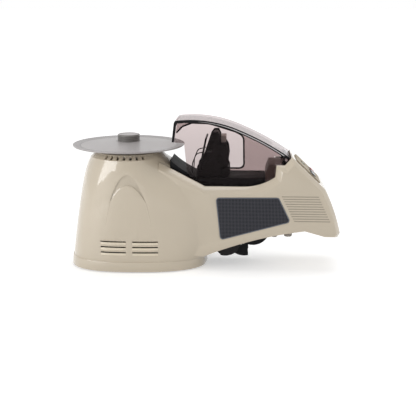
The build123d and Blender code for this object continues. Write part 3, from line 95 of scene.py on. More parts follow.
class Finishes(bpy.types.PropertyGroup):
    """Colours and textures of the object's materials."""

    shell: colour_property("Shell", "Beige of the moulded housing", (0.545, 0.470, 0.360))
    # Painted highlight: the vent lips are paler than the shell to stand in for the light that falls on them
    lip: colour_property("Vent lips", "Paler beige of the lips under the vents", (0.72, 0.64, 0.50))
    # The hinge block's dark brown is partly painted shade: its darkness stands in for the shade the block
    # lies in under the cover
    brown: colour_property("Hinge block", "Dark brown of the hinge block", (0.075, 0.045, 0.036))
    disc: colour_property("Turntable", "Warm grey of the turntable", (0.39, 0.367, 0.363))
    hub: colour_property("Hub", "Grey of the side of the roll hub", (0.17, 0.16, 0.15))
    smoke: colour_property("Smoke", "Tint of one wall of the smoked cover", (0.57, 0.495, 0.49))
    black: colour_property("Black", "Black of the inner mouldings", (0.006, 0.006, 0.007))
    label: colour_property("Label", "Dark ground of the label", (0.005, 0.005, 0.007))
    label_line: colour_property("Label lines", "Fine lines on the label", (0.085, 0.086, 0.100))
    label_edge: colour_property("Label edge", "Border of the label", (0.13, 0.14, 0.165))
    panel: colour_property("Key panel", "Brown grey of the key panel", (0.30, 0.24, 0.15))
    key: colour_property("Keys", "Black of the two plain push buttons", (0.016, 0.016, 0.017))
    stop_key: colour_property("Stop key", "Red of the third push button", (0.42, 0.035, 0.022))
    print_ink: colour_property("Ink", "Pale ink of the printed marks", (0.62, 0.61, 0.58))
    # Painted highlight: the pale line in the band stands in for light along the band's rounded edge
    cover_line: colour_property("Cover line", "Pale line in the cover's dark band", (0.62, 0.60, 0.60))
    grain_size: length_property("Grain", "Size of the moulded grain", 0.7)
    label_pitch: length_property("Label pitch", "Distance between the fine lines", 1.9)


class Fittings(bpy.types.PropertyGroup):
    """Sizes of the small fittings."""

    edge: length_property("Edge", "Rounding of the large moulded edges", 0.7)
    screw_radius: length_property("Screw head", "Radius of the screw heads", 2.1)
    screw_height: length_property("Screw height", "Height of the screw heads", 0.9)
    screw_slot: length_property("Screw slot", "Width of the cross in the screw heads", 0.55)
    knob_ribs: count_property("Knob ribs", "Grip ribs round the pivot knob", 14)
    disc_ribs: count_property("Turntable ribs", "Ribs under the turntable", 12)
    wheel_ribs: count_property("Wheel ribs", "Ribs on the carousel's far plate", 8)
    spring_wire: length_property("Spring wire", "Radius of the spring wire", 0.3)
    border: length_property("Label border", "Width of the raised border of the label", 1.1)
    # The pale line is a painted highlight
    line: length_property("Cover line", "Width of the pale line in the cover's band", 0.9)
    band: length_property("Cover band", "Width of the dark band along the cover's top edge", 4.1)
    # The window's edging is painted darkness standing in for the dark look of the tinted sheet's cut edge
    edging: length_property("Window edging", "Width of the dark edging of the cover's window", 2.3)
    lip: length_property("Vent lip", "How far the lips under the vents stand out", 1.0)


class Studio(bpy.types.PropertyGroup):
    """Floor, lamps and camera."""

    camera_place: FloatVectorProperty(
        name="Camera",
        description="Place of the camera",
        default=(0.06752, -1.18772, 0.35783),
        subtype="TRANSLATION",
    )
    camera_turn: FloatProperty(
        name="Turn", description="Turn of the view from +Y", default=radians(3), subtype="ANGLE"
    )
    camera_dip: FloatProperty(
        name="Dip", description="Downward tilt of the view", default=radians(13.3), subtype="ANGLE"
    )
    lens: FloatProperty(
        name="Lens", description="Focal length in millimetres", default=76.4, min=10, max=300
    )
    left_power: light_property("Left lamp", "Power of the left soft box", 9.5, "POWER")
    right_power: light_property("Right lamp", "Power of the right soft box", 4.5, "POWER")
    top_power: light_property("Top lamp", "Power of the lamp overhead", 7.0, "POWER")
    world_light: light_property("World", "Strength of the world", 0.42)
    near_glow: light_property("Near glow", "Light the floor shows near the object", 0.42)
    far_glow: light_property("Far glow", "Light the floor shows far from the object", 0.86)


def finishes():
    """The scene's finish settings."""
    return bpy.context.scene.dispenser_finishes


def fittings():
    """The scene's fitting sizes."""
    return bpy.context.scene.dispenser_fittings


def studio():
    """The scene's studio settings."""
    return bpy.context.scene.dispenser_studio


def maths(operation, swapped=False):
    """A method of Value that adds a Math node; swapped puts the other term first."""

    def method(self, *others):
        node = self.tree.nodes.new("ShaderNodeMath")
        node.operation = operation
        for slot, term in zip(node.inputs, (*others, self) if swapped else (self, *others)):
            join(self.tree, term, slot)
        return Value(self.tree, node.outputs[0])

    return method


class Value:
    """A socket of a node tree that can stand in a Python expression."""

    def __init__(self, tree, socket):
        self.tree = tree
        self.socket = socket

    __add__ = __radd__ = maths("ADD")
    __sub__, __rsub__ = maths("SUBTRACT"), maths("SUBTRACT", swapped=True)
    __mul__ = __rmul__ = maths("MULTIPLY")
    __pow__, __rpow__ = maths("POWER"), maths("POWER", swapped=True)
    above = maths("GREATER_THAN")  # 1 where this is over the limit, else 0
    largest = maths("MAXIMUM")
    smallest = maths("MINIMUM")
    wave = maths("SINE")
    root = maths("SQRT")
    saw = maths("PINGPONG")  # this, folded into a zigzag of the given step


def join(tree, term, slot):
    """Puts a number, a colour or a link into a socket."""
    if isinstance(term, Value):
        tree.links.new(term.socket, slot)
    elif slot.type == "RGBA":
        slot.default_value = (*term, 1)
    else:
        slot.default_value = term


class Tree:
    """A node tree being built."""

    def __init__(self, tree):
        self.tree = tree

    def node(self, kind, settings=None, inputs=None, output=0):
        """Adds a node: settings first, then the values or links of its sockets."""
        node = self.tree.nodes.new(kind)
        for name, value in (settings or {}).items():
            setattr(node, name, value)
        for name, value in (inputs or {}).items():
            for term in value if isinstance(value, list) else [value]:
                join(self.tree, term, node.inputs[name])
        return Value(self.tree, node.outputs[output])

    def along(self, x, y, z):
        """A vector from three numbers."""
        return self.node("ShaderNodeCombineXYZ", inputs={"X": x, "Y": y, "Z": z})

    def parts(self, vector):
        """The three numbers of a vector."""
        node = self.tree.nodes.new("ShaderNodeSeparateXYZ")
        join(self.tree, vector, node.inputs[0])
        return [Value(self.tree, socket) for socket in node.outputs]

    def seen_ray(self):
        """1 for the rays that look at the scene, straight, mirrored or through glass."""
        ray = self.tree.nodes.new("ShaderNodeLightPath")
        camera, glossy, clear = (
            Value(self.tree, ray.outputs[f"Is {kind} Ray"]) for kind in ("Camera", "Glossy", "Transmission")
        )
        return camera.largest(glossy).largest(clear)


class Growth(Tree):
    """A Geometry Nodes tree that repeats one shape on a cloud of points."""

    def __init__(self, name, *sizes):
        super().__init__(bpy.data.node_groups.new(name, "GeometryNodeTree"))
        sockets = [("Points", "Geometry"), *[(size, "Float") for size in sizes], ("Finish", "Material")]
        for title, kind in sockets:
            self.tree.interface.new_socket(title, in_out="INPUT", socket_type="NodeSocket" + kind)
        self.tree.interface.new_socket("Shape", in_out="OUTPUT", socket_type="NodeSocketGeometry")
        self.entry = self.tree.nodes.new("NodeGroupInput")
        self.exit = self.tree.nodes.new("NodeGroupOutput")

    def given(self, title):
        """One of the tree's own inputs."""
        return Value(self.tree, self.entry.outputs[title])

    def aligned(self, axis, pivot, attribute, rotation=None):
        """A rotation that turns an axis to a point's named direction."""
        settings = {"data_type": "FLOAT_VECTOR"}
        inputs = {"Vector": self.node("GeometryNodeInputNamedAttribute", settings, {"Name": attribute})}
        settings = {"axis": axis, "pivot_axis": pivot}
        if rotation:
            inputs["Rotation"] = rotation
        return self.node("FunctionNodeAlignRotationToVector", settings, inputs)

    def repeat(self, shape):
        """Stands the shape on every point: its Z goes along "aim" and its X along "along"."""
        turned = self.aligned("X", "Z", "along", self.aligned("Z", "AUTO", "aim"))
        inputs = {"Points": self.given("Points"), "Instance": shape, "Rotation": turned}
        copies = self.node("GeometryNodeInstanceOnPoints", inputs=inputs)
        real = self.node("GeometryNodeRealizeInstances", inputs={"Geometry": copies})
        inputs = {"Geometry": real, "Material": self.given("Finish")}
        join(self.tree, self.node("GeometryNodeSetMaterial", inputs=inputs), self.exit.inputs[0])
        return self.tree


class Material(Tree):
    """A material being made: its tree, its shader and the object's own coordinates."""

    def __init__(self, name, **constant):
        self.data = bpy.data.materials.new(name)
        self.data.use_nodes = True
        super().__init__(self.data.node_tree)
        self.shader = self.tree.nodes["Principled BSDF"]
        for socket, value in constant.items():
            join(self.tree, value, self.shader.inputs[socket.replace("_", " ").title().replace("Ior", "IOR")])
        self.place = self.node("ShaderNodeTexCoord", output="Object")

    def set(self, socket, value):
        """Feeds one socket of the shader."""
        join(self.tree, value, self.shader.inputs[socket])

    def axes(self):
        """X, Y and Z of the place on the object."""
        return self.parts(self.place)

    def stretched(self, x, y, z):
        """The object's coordinates, scaled on each axis."""
        return self.node("ShaderNodeMapping", inputs={"Vector": self.place, "Scale": (x, y, z)})

    def noise(self, scale, detail=3.0, rough=0.55, place=None):
        """Noise of that many grains in a metre."""
        inputs = {"Vector": place or self.place, "Scale": scale, "Detail": detail, "Roughness": rough}
        return self.node("ShaderNodeTexNoise", inputs=inputs)

    def cells(self, scale, feature="F1"):
        """Distance to scattered points, that many in a metre."""
        return self.node("ShaderNodeTexVoronoi", {"feature": feature}, {"Vector": self.place, "Scale": scale})

    def between(self, value, low, high, to_low=0.0, to_high=1.0):
        """Rescales a number and keeps it inside its new limits."""
        inputs = {"Value": value, "From Min": low, "From Max": high, "To Min": to_low, "To Max": to_high}
        return self.node("ShaderNodeMapRange", {"clamp": True}, inputs)

    def mix(self, factor, first, second):
        """Mix of two colours."""
        node = self.tree.nodes.new("ShaderNodeMix")
        node.data_type = "RGBA"
        # The node has sockets for every kind of data: these are the factor and the two colours
        for number, term in ((0, factor), (6, first), (7, second)):
            join(self.tree, term, node.inputs[number])
        return Value(self.tree, node.outputs[2])

    def bump(self, height, depth, strength=1.0, below=None):
        """Surface relief of that depth in metres; below is a relief under it."""
        inputs = {"Height": height, "Distance": depth, "Strength": strength}
        if below is not None:
            inputs["Normal"] = below
        return self.node("ShaderNodeBump", inputs=inputs)


def shade(rgb, factor):
    """A colour made lighter or darker."""
    return tuple(min(channel * factor, 1) for channel in rgb)


def middle_of(node):
    """Middle of a solid's box."""
    low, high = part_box(node)
    return (low + high) / 2


def moulded(name, rgb, rough, grain, spread, dust=0.0, marks=None, **constant):
    """Moulded plastic: fine grain, faint cloudy tone, rubbed patches and dust on what faces up;
    marks, where given, paints shade over the tone."""
    made = Material(name, **constant)
    pits = made.noise(1 / finishes().grain_size, 2, 0.6)
    clouds = made.noise(9, 3)
    smears = made.noise(38, 4, 0.6, made.stretched(1, 1, 0.35))
    tone = made.mix(made.between(clouds, 0.35, 0.65), shade(rgb, 1 - spread), shade(rgb, 1 + spread))
    if dust:
        facing = made.parts(made.node("ShaderNodeNewGeometry", output="Normal"))[2]
        film = made.between(facing, 0.7, 1.0) * made.between(made.noise(240, 4), 0.45, 0.7) * dust
        tone = made.mix(film, tone, (0.55, 0.52, 0.47))
    made.set("Base Color", marks(made, tone, rgb) if marks else tone)
    made.set("Roughness", made.between(smears, 0.3, 0.7, rough - 0.05, rough + 0.06) + pits * 0.04)
    made.set("Normal", made.bump(pits, grain * MM, 0.6))
    return made.data


def housing_painted_shade(made, tone, rgb):
    """Paints shade into the turret's recessed arch and into the grooves of the nose: the darker tone stands
    in for the shade that falls in these hollows.
    """
    x, y, z = made.axes()
    # The arch lies between two parabolas about its upright middle line
    off = x - ARCH_X
    spread = off * off
    under_outer = (132.4 * MM - spread * 63.4 - z).above(0)
    over_inner = (z - 118.5 * MM + spread * 39.2).above(0)
    front = (y * -1.0).above(20 * MM)
    # The grooves lie in a slanted field, in a thin layer just under the skin
    layer = y.above(-43.93 * MM) * (y * -1.0).above(42.5 * MM)
    field = x.above(104 * MM) * z.above(66 * MM) * (z * -1.0).above(-106 * MM)
    slanted = (157.5 * MM - x + (103.5 * MM - z) * 0.469).above(0)
    # Painted shade: a little in the arch, much more on the groove floors
    painted_shade = (under_outer * over_inner * front * 0.13).largest(layer * field * slanted * 0.55)
    return made.mix(painted_shade, tone, shade(rgb, 0.35))


def smoked(name):
    """Tinted clear sheet: light passes and takes the tint, and the surface mirrors at a low angle."""
    made = Material(name, metallic=1.0)
    wipe = made.noise(30, 4, 0.6, made.stretched(1, 1, 0.3))
    clean, wiped = (0.57, 0.55, 0.56), (0.50, 0.48, 0.49)
    made.set("Base Color", made.mix(made.between(wipe, 0.35, 0.7), clean, wiped))
    made.set("Roughness", made.between(wipe, 0.35, 0.7, 0.02, 0.09))
    tint = tuple(channel**0.5 for channel in finishes().smoke)
    clear = made.node("ShaderNodeBsdfTransparent", inputs={"Color": tint})
    glance = made.node("ShaderNodeLayerWeight", inputs={"Blend": 0.5}, output="Facing")
    haze = made.between(made.cells(420), 0.0, 0.05, 0.01, 0.0)
    mirror = (glance**5.0 * 0.95 + 0.008 + haze).smallest(1.0)
    inputs = {0: mirror, 1: clear, 2: Value(made.tree, made.shader.outputs[0])}
    mixed = made.node("ShaderNodeMixShader", inputs=inputs)
    join(made.tree, mixed, made.tree.nodes["Material Output"].inputs["Surface"])
    return made.data


def turned(name, rgb, centre, rough, pitch, depth, zones):
    """Turned plastic: fine rings about an upright axis; each zone gives two radii and two heights
    in millimetres and the colour painted between them, used here for painted shade and a painted highlight."""
    made = Material(name)
    x, y, z = made.axes()
    x, y = x - centre[0], y - centre[1]
    radius = (x * x + y * y).root()
    rings = (radius * (2 * pi / (pitch * MM)) + made.noise(60, 2) * 2.0).wave()
    streaks = made.noise(26, 3, 0.6)
    tone = made.mix(made.between(streaks, 0.35, 0.65), shade(rgb, 0.95), shade(rgb, 1.05))
    # The zones paint light and shade: dark rings in creases and on the turntable's rim, a paler hub top, dark
    # hub grooves
    for inner, outer, low, high, other in zones:
        across = radius.above(inner * MM) * (outer * MM - radius).above(0)
        tone = made.mix(across * z.above(low * MM) * (high * MM - z).above(0), tone, other)
    tone = made.mix(made.between(rings, -1, 1, 0.0, 0.08), tone, shade(rgb, 0.7))
    made.set("Base Color", tone)
    made.set("Roughness", made.between(streaks, 0.3, 0.7, rough - 0.06, rough + 0.07))
    made.set("Normal", made.bump(rings, depth * MM, 0.5, made.bump(made.noise(900, 2), depth * MM, 0.4)))
    return made.data


def brushed(name, rgb, rough=0.3, along=(1, 0.06, 1), metal=1.0):
    """Steel with drawn marks along one direction and faint stains."""
    made = Material(name)
    marks = made.noise(2600, 3, 0.7, made.stretched(*along))
    stains = made.noise(70, 4)
    tone = made.mix(made.between(stains, 0.4, 0.7), rgb, shade(rgb, 0.78))
    made.set("Base Color", made.mix(made.between(marks, 0.3, 0.7, 0.0, 0.25), tone, shade(rgb, 0.6)))
    made.set("Metallic", metal)
    made.set("Roughness", made.between(marks, 0.2, 0.8, rough - 0.08, rough + 0.14))
    made.set("Normal", made.bump(marks, 0.03 * MM, 0.5))
    return made.data


def soft(name, rgb):
    """Rubber with a dull uneven skin."""
    made = Material(name)
    skin = made.noise(700, 4, 0.7)
    made.set("Base Color", made.mix(made.between(made.noise(60, 3), 0.4, 0.7), rgb, shade(rgb, 1.7)))
    made.set("Roughness", made.between(skin, 0.3, 0.7, 0.65, 0.85))
    made.set("Normal", made.bump(skin, 0.08 * MM, 0.6))
    return made.data


def label_sheet(name):
    """Bare dark label: fine pale lines in small squares on an uneven ground."""
    look = finishes()
    made = Material(name)
    made.set("Specular IOR Level", 0.12)
    x, _, z = made.axes()
    half = look.label_pitch / 2
    lines = made.between(x.saw(half).largest((z - x * 0.02).saw(half)), half * 0.60, half * 0.85)
    clouds = made.between(made.noise(18, 3), 0.35, 0.7, 0, 0.5)
    ground = made.mix(clouds, look.label, shade(look.label, 1.5))
    made.set("Base Color", made.mix(lines * 0.9, ground, look.label_line))
    made.set("Roughness", made.between(lines, 0, 1, 0.42, 0.50))
    made.set("Normal", made.bump(lines, 0.04 * MM, 0.5))
    return made.data


def board_face(name):
    """Circuit board: green mask with paler tracks and pads."""
    made = Material(name)
    tracks = made.between(made.cells(260, "DISTANCE_TO_EDGE"), 0.02, 0.05, 1.0, 0.0)
    pads = made.between(made.cells(420), 0.18, 0.22, 1.0, 0.0)
    tone = made.mix(tracks * 0.6, (0.012, 0.085, 0.03), (0.03, 0.17, 0.06))
    made.set("Base Color", made.mix(pads, tone, (0.55, 0.52, 0.42)))
    made.set("Roughness", made.between(pads, 0, 1, 0.35, 0.25))
    made.set("Metallic", pads * 0.8)
    made.set("Normal", made.bump(tracks, 0.05 * MM, 0.6))
    return made.data


def lens_body(name, rgb):
    """Clear coloured lens with faceted inner prisms; each facet is painted darker in its middle and lighter
    towards its edges, a painted play of light through the prisms.
    """
    made = Material(name, coat_weight=0.6, coat_roughness=0.05)
    prisms = made.cells(1600)
    # Painted light: each facet darker in its middle and lighter towards its edges
    made.set("Base Color", made.mix(made.between(prisms, 0.1, 0.6), shade(rgb, 0.6), shade(rgb, 1.5)))
    made.set("Roughness", made.between(prisms, 0, 0.6, 0.08, 0.2))
    made.set("Normal", made.bump(prisms, 0.1 * MM, 0.3))
    return made.data


MATERIALS = {}


def make_materials():
    """One material for each slot of the record, and those of the small added pieces."""
    look = finishes()
    centre = middle_of("spindle_post")
    gloss = {"coat_weight": 1.0, "coat_roughness": 0.05}
    # Painted shade on the turntable: a dark ring in the crease at the rim's foot, a darker rim and a dark
    # ring near the middle
    disc_painted_shade = (
        (65.3, 66.7, 100, 170, shade(look.disc, 0.55)),
        (66.7, 75.0, 100, 170, shade(look.disc, 0.80)),
        (16.0, 17.2, 100, 172, shade(look.disc, 0.60)),
    )
    # Painted shade in the hub's three grooves, and a painted highlight: the hub's top is paler than its side
    grooves = tuple((14.3, 20, low, low + 0.7, shade(look.hub, 0.45)) for low in (171.6, 173.8, 176.0))
    hub_painted_light = ((-1, 14.2, 178, 190, shade(look.disc, 1.08)), *grooves)
    MATERIALS.update(
        # The shell carries painted shade in the turret's arch and in the nose's grooves
        shell=moulded("shell", look.shell, 0.36, 0.02, 0.012, dust=0.08, marks=housing_painted_shade, **gloss),
        # Painted highlight: the lips' paler beige stands in for light falling on them
        lip=moulded("lip", look.lip, 0.40, 0.02, 0.02),
        # Hinge block: dark brown that is partly painted shade
        brown=moulded("brown", look.brown, 0.40, 0.03, 0.06),
        # The turntable carries painted shade in its creases and on its rim
        disc=turned("disc", look.disc, centre, 0.36, 1.6, 0.05, disc_painted_shade),
        # The hub carries a painted highlight on its top and painted shade in its grooves
        hub=turned("hub", look.hub, centre, 0.42, 0.9, 0.03, hub_painted_light),
        smoke=smoked("smoke"),
        dark=moulded("dark", look.black, 0.58, 0.04, 0.20, dust=0.01, specular_ior_level=0.15),
        cap=soft("cap", (0.26, 0.235, 0.21)),
        label=label_sheet("label"),
        panel=moulded("panel", look.panel, 0.42, 0.05, 0.06),
        key=moulded("key", look.key, 0.30, 0.02, 0.05, **gloss),
        red_key=moulded("red_key", look.stop_key, 0.30, 0.02, 0.08, **gloss),
        lens=lens_body("lens", (0.03, 0.30, 0.06)),
        steel=brushed("steel", (0.55, 0.55, 0.56)),
        zinc=brushed("zinc", (0.012, 0.011, 0.012), 0.46, (1, 1, 0.08), 0.7),
        brass=brushed("brass", (0.62, 0.44, 0.18), 0.28),
        acetal=moulded("acetal", (0.66, 0.65, 0.60), 0.36, 0.03, 0.04),
        rubber=soft("rubber", (0.02, 0.02, 0.021)),
        grey_rubber=soft("grey_rubber", (0.06, 0.06, 0.062)),
        motor=brushed("motor", (0.42, 0.42, 0.43), 0.34, (1, 0.1, 1)),
        board=board_face("board"),
        aluminium=brushed("aluminium", (0.62, 0.62, 0.64), 0.36, (1, 0.1, 1)),
        cast=brushed("cast", (0.05, 0.05, 0.05), 0.7, (1, 1, 1), 0.6),
        border=moulded("border", look.label_edge, 0.35, 0.01, 0.05),
        ink=moulded("ink", look.print_ink, 0.5, 0.01, 0.05),
        # Painted highlight along the cover's band
        cover_line=moulded("cover_line", look.cover_line, 0.3, 0.01, 0.05),
    )


def paint(piece, finish):
    """Gives a piece one material."""
    piece.data.materials.clear()
    piece.data.materials.append(MATERIALS[finish])


def settled(piece, body, slot, finish=None, angle=35.0):
    """Smooth shading between sharp edges, the body that carries the piece, its slot and material."""
    piece.data.shade_smooth()
    piece.data.set_sharp_from_angle(angle=radians(angle))
    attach(piece, body)
    paint(piece, finish or slot)
    return piece


def plain_mesh(piece):
    """The mesh of a piece with its modifiers worked in, and the modifiers taken off."""
    bpy.context.view_layer.update()
    graph = bpy.context.evaluated_depsgraph_get()
    mesh = bpy.data.meshes.new_from_object(piece.evaluated_get(graph))
    piece.modifiers.clear()
    return mesh


def placed(name, mesh):
    """A new object with this mesh, at the origin."""
    piece = bpy.data.objects.new(name, mesh)
    COLLECTION.objects.link(piece)
    return piece


def merged(node):
    """A copy of a solid's mesh with its corners joined and its flat faces whole."""
    mesh = frame["nodes"][node].data.copy()
    work = bmesh.new()
    work.from_mesh(mesh)
    bmesh.ops.remove_doubles(work, verts=work.verts, dist=0.01 * MM)
    bmesh.ops.dissolve_limit(work, angle_limit=radians(0.4), verts=work.verts, edges=work.edges)
    work.to_mesh(mesh)
    work.free()
    return mesh


def finished_copy(node, edge, angle=28.0):
    """A merged copy of a solid with small rounded edges, shown in the solid's place."""
    piece = placed(node + "_form", merged(node))
    if edge:
        bevel = piece.modifiers.new("edge", "BEVEL")
        bevel.width = edge
        bevel.segments = 2
        bevel.limit_method = "ANGLE"
        bevel.angle_limit = radians(angle)
        piece.data = plain_mesh(piece)
    settled(piece, BODY_OF[node], SLOT_OF[node], FINISH_OF.get(node), angle)
    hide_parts(node)
    return piece


def skin(node):
    """A search tree over a solid's faces."""
    mesh = frame["nodes"][node].data
    return BVHTree.FromPolygons([v.co for v in mesh.vertices], [p.vertices for p in mesh.polygons])


def touch(tree, start, way):
    """Where a straight line first meets a solid, and how its surface faces there."""
    place, facing, _, _ = tree.ray_cast(Vector(start), Vector(way))
    if place is None:
        raise RuntimeError(f"nothing lies along {way} from {start}")
    return place, facing


def bar(sections, closed=False):
    """Corners and faces of a bar that runs through equal sections, in a ring if closed."""
    count = len(sections[0])
    corners = [corner for section in sections for corner in section]
    faces = []
    for row in range(len(sections) if closed else len(sections) - 1):
        here, there = row * count, (row + 1) % len(sections) * count
        for step in range(count):
            after = (step + 1) % count
            faces.append((here + step, here + after, there + after, there + step))
    if not closed:
        faces += [tuple(range(count)), tuple(range(len(corners) - count, len(corners)))]
    return corners, faces


def ring(profile, place, way, sides=40):
    """A bar turned about an axis; profile gives its section as radius and height in millimetres."""
    turn = Vector(way).to_track_quat("Z", "Y").to_matrix()
    sections = []
    for side in range(sides):
        angle = 2 * pi * side / sides
        sections.append(
            [
                Vector(place) + turn @ Vector((r * cos(angle) * MM, r * sin(angle) * MM, h * MM))
                for r, h in profile
            ]
        )
    return bar(sections, closed=True)


def assembled(name, bars, body, slot, finish=None, angle=35.0):
    """One piece from several bars."""
    corners, faces = [], []
    for more_corners, more_faces in bars:
        faces += [tuple(index + len(corners) for index in face) for face in more_faces]
        corners += more_corners
    mesh = bpy.data.meshes.new(name)
    mesh.from_pydata(corners, [], faces)
    work = bmesh.new()
    work.from_mesh(mesh)
    bmesh.ops.remove_doubles(work, verts=work.verts, dist=0.001 * MM)
    bmesh.ops.recalc_face_normals(work, faces=work.faces)
    work.to_mesh(mesh)
    work.free()
    return settled(placed(name, mesh), body, slot, finish, angle)


def grown(name, tree, points, body, slot, **sizes):
    """Runs a tree on points, each a place, an aim and a direction along, into one plain piece."""
    cloud = bpy.data.meshes.new(name + "_points")
    cloud.from_pydata([point[0] for point in points], [], [])
    for column, attribute in ((1, "aim"), (2, "along")):
        layer = cloud.attributes.new(attribute, "FLOAT_VECTOR", "POINT")
        for item, point in zip(layer.data, points):
            item.vector = point[column]
    carrier = placed(name, cloud)
    growth = carrier.modifiers.new("growth", "NODES")
    growth.node_group = tree
    for socket in tree.interface.items_tree:
        if socket.in_out == "INPUT" and socket.name in sizes:
            growth[socket.identifier] = sizes[socket.name]
        elif socket.name == "Finish":
            growth[socket.identifier] = MATERIALS[slot]
    carrier.data = plain_mesh(carrier)
    return settled(carrier, body, slot)


def screw_tree():
    """Low round head with a cross cut in its top."""
    made = Growth("screws", "Radius", "Height", "Slot")
    radius, height, slot = (made.given(title) for title in ("Radius", "Height", "Slot"))
    inputs = {"Vertices": 24, "Radius Top": radius * 0.80, "Radius Bottom": radius, "Depth": height}
    head = made.node("GeometryNodeMeshCone", {"fill_type": "NGON"}, inputs)
    cuts = []
    for long_way, short_way in ((radius * 1.1, slot), (slot, radius * 1.1)):
        cut = made.node("GeometryNodeMeshCube", inputs={"Size": made.along(long_way, short_way, height)})
        inputs = {"Geometry": cut, "Translation": made.along(0.0, 0.0, height)}
        cuts.append(made.node("GeometryNodeTransform", inputs=inputs))
    inputs = {"Mesh 1": head, "Mesh 2": cuts}
    return made.repeat(made.node("GeometryNodeMeshBoolean", {"operation": "DIFFERENCE"}, inputs))


def rib_tree():
    """Low straight rib, narrower at its crest."""
    made = Growth("ribs", "Length", "Width", "Height")
    length, width, height = (made.given(title) for title in ("Length", "Width", "Height"))
    block = made.node("GeometryNodeMeshCube", inputs={"Size": made.along(length, width, height * 2.0)})
    up = made.parts(made.node("GeometryNodeInputNormal"))[2].above(0.5)
    inputs = {"Geometry": block, "Selection": up, "Scale": 0.8}
    return made.repeat(made.node("GeometryNodeScaleElements", inputs=inputs))


def spring_tree():
    """Coil of round wire that stands on its point."""
    made = Growth("springs", "Turns", "Radius", "Height", "Wire")
    radius = made.given("Radius")
    inputs = {
        "Resolution": 20,
        "Rotations": made.given("Turns"),
        "Start Radius": radius,
        "End Radius": radius,
        "Height": made.given("Height"),
    }
    coil = made.node("GeometryNodeCurveSpiral", inputs=inputs)
    inputs = {"Resolution": 8, "Radius": made.given("Wire")}
    wire = made.node("GeometryNodeCurvePrimitiveCircle", {"mode": "RADIUS"}, inputs)
    inputs = {"Curve": coil, "Profile Curve": wire, "Fill Caps": True}
    return made.repeat(made.node("GeometryNodeCurveToMesh", inputs=inputs))


# Rounding of the edges of each solid, as a share of the edge setting; the rest stay sharp
ROUNDING = {
    node: share
    for share, nodes in (
        (1.0, "main_housing side_cover base_pan hinge_block"),
        (0.8, "deck_liner pivot_knob wheel_nut push_button_1 push_button_2 push_button_3 carousel_motor"),
        (0.7, "power_plate"),
        (0.6, "tape_sensor rubber_feet indicator_lens power_rocker"),
        (0.5, "turret_deck smoke_cover control_panel carousel_plate_near carousel_plate_far inlet_socket"),
        (0.5, "guide_roller feed_roller pressure_roller feed_motor"),
        (0.4, "tower_plate_near tower_plate_far hinge_brackets pressure_arm carousel_frame"),
        (0.3, "disc_plate roll_hub tip_pads tension_lever"),
        (0.2, "label_plate"),
    )
    for node in nodes.split()
}

# Solids that look different from the rest of their slot
ZINC_PLATED = ("tower_tie_rods", "guide_shaft", "feed_shaft", "guide_wires", "tension_lever")
# The hinge block's brown is partly painted shade
FINISH_OF = {"hinge_block": "brown", "tape_sensor": "acetal", **dict.fromkeys(ZINC_PLATED, "zinc")}


class DISPENSER_OT_solids(bpy.types.Operator):
    """Make the materials and give every solid smooth faces, rounded edges and its own finish"""

    bl_idname = "dispenser.solids"
    bl_label = "Finish the solids"

    def execute(self, context):
        make_materials()
        edge = fittings().edge
        for node in list(frame["nodes"]):
            finished_copy(node, ROUNDING.get(node, 0) * edge)
        return {"FINISHED"}


class DISPENSER_OT_label(bpy.types.Operator):
    """Make the raised border of the label"""

    bl_idname = "dispenser.label"
    bl_label = "Label border"

    def execute(self, context):
        work = bmesh.new()
        work.from_mesh(merged("label_plate"))
        front = min(work.faces, key=lambda face: face.calc_center_median().y)
        outline = [corner.co.copy() for corner in front.verts]
        bmesh.ops.inset_region(work, faces=[front], thickness=fittings().border, use_even_offset=True)
        inner = [corner.co.copy() for corner in front.verts]
        work.free()
        steps = ((0.0, 0.1), (0.06, -0.12), (0.5, -0.18), (0.94, -0.12), (1.0, 0.1))
        sections = [
            [near.lerp(far, share) + Vector((0, depth * MM, 0)) for share, depth in steps]
            for near, far in zip(outline, inner)
        ]
        assembled("label_border", [bar(sections, closed=True)], "root", "label", "border", 60)
        return {"FINISHED"}


def circle_through(a, b, c):
    """Middle and radius of the circle through three points of the XZ plane."""
    (ax, az), (bx, bz), (cx, cz) = a, b, c
    double = 2 * (ax * (bz - cz) + bx * (cz - az) + cx * (az - bz))
    squares = [x * x + z * z for x, z in (a, b, c)]
    x = (squares[0] * (bz - cz) + squares[1] * (cz - az) + squares[2] * (az - bz)) / double
    z = (squares[0] * (cx - bx) + squares[1] * (ax - cx) + squares[2] * (bx - ax)) / double
    return x, z, hypot(ax - x, az - z)


def rail(face, stations, profile):
    """Bar along a wall that looks along Y: each station is a place on it and a way in it, and the
    profile gives shares of that way and depths in millimetres."""
    return bar(
        [
            [place + way * share + Vector((0, face + depth * MM, 0)) for share, depth in profile]
            for place, way in stations
        ]
    )


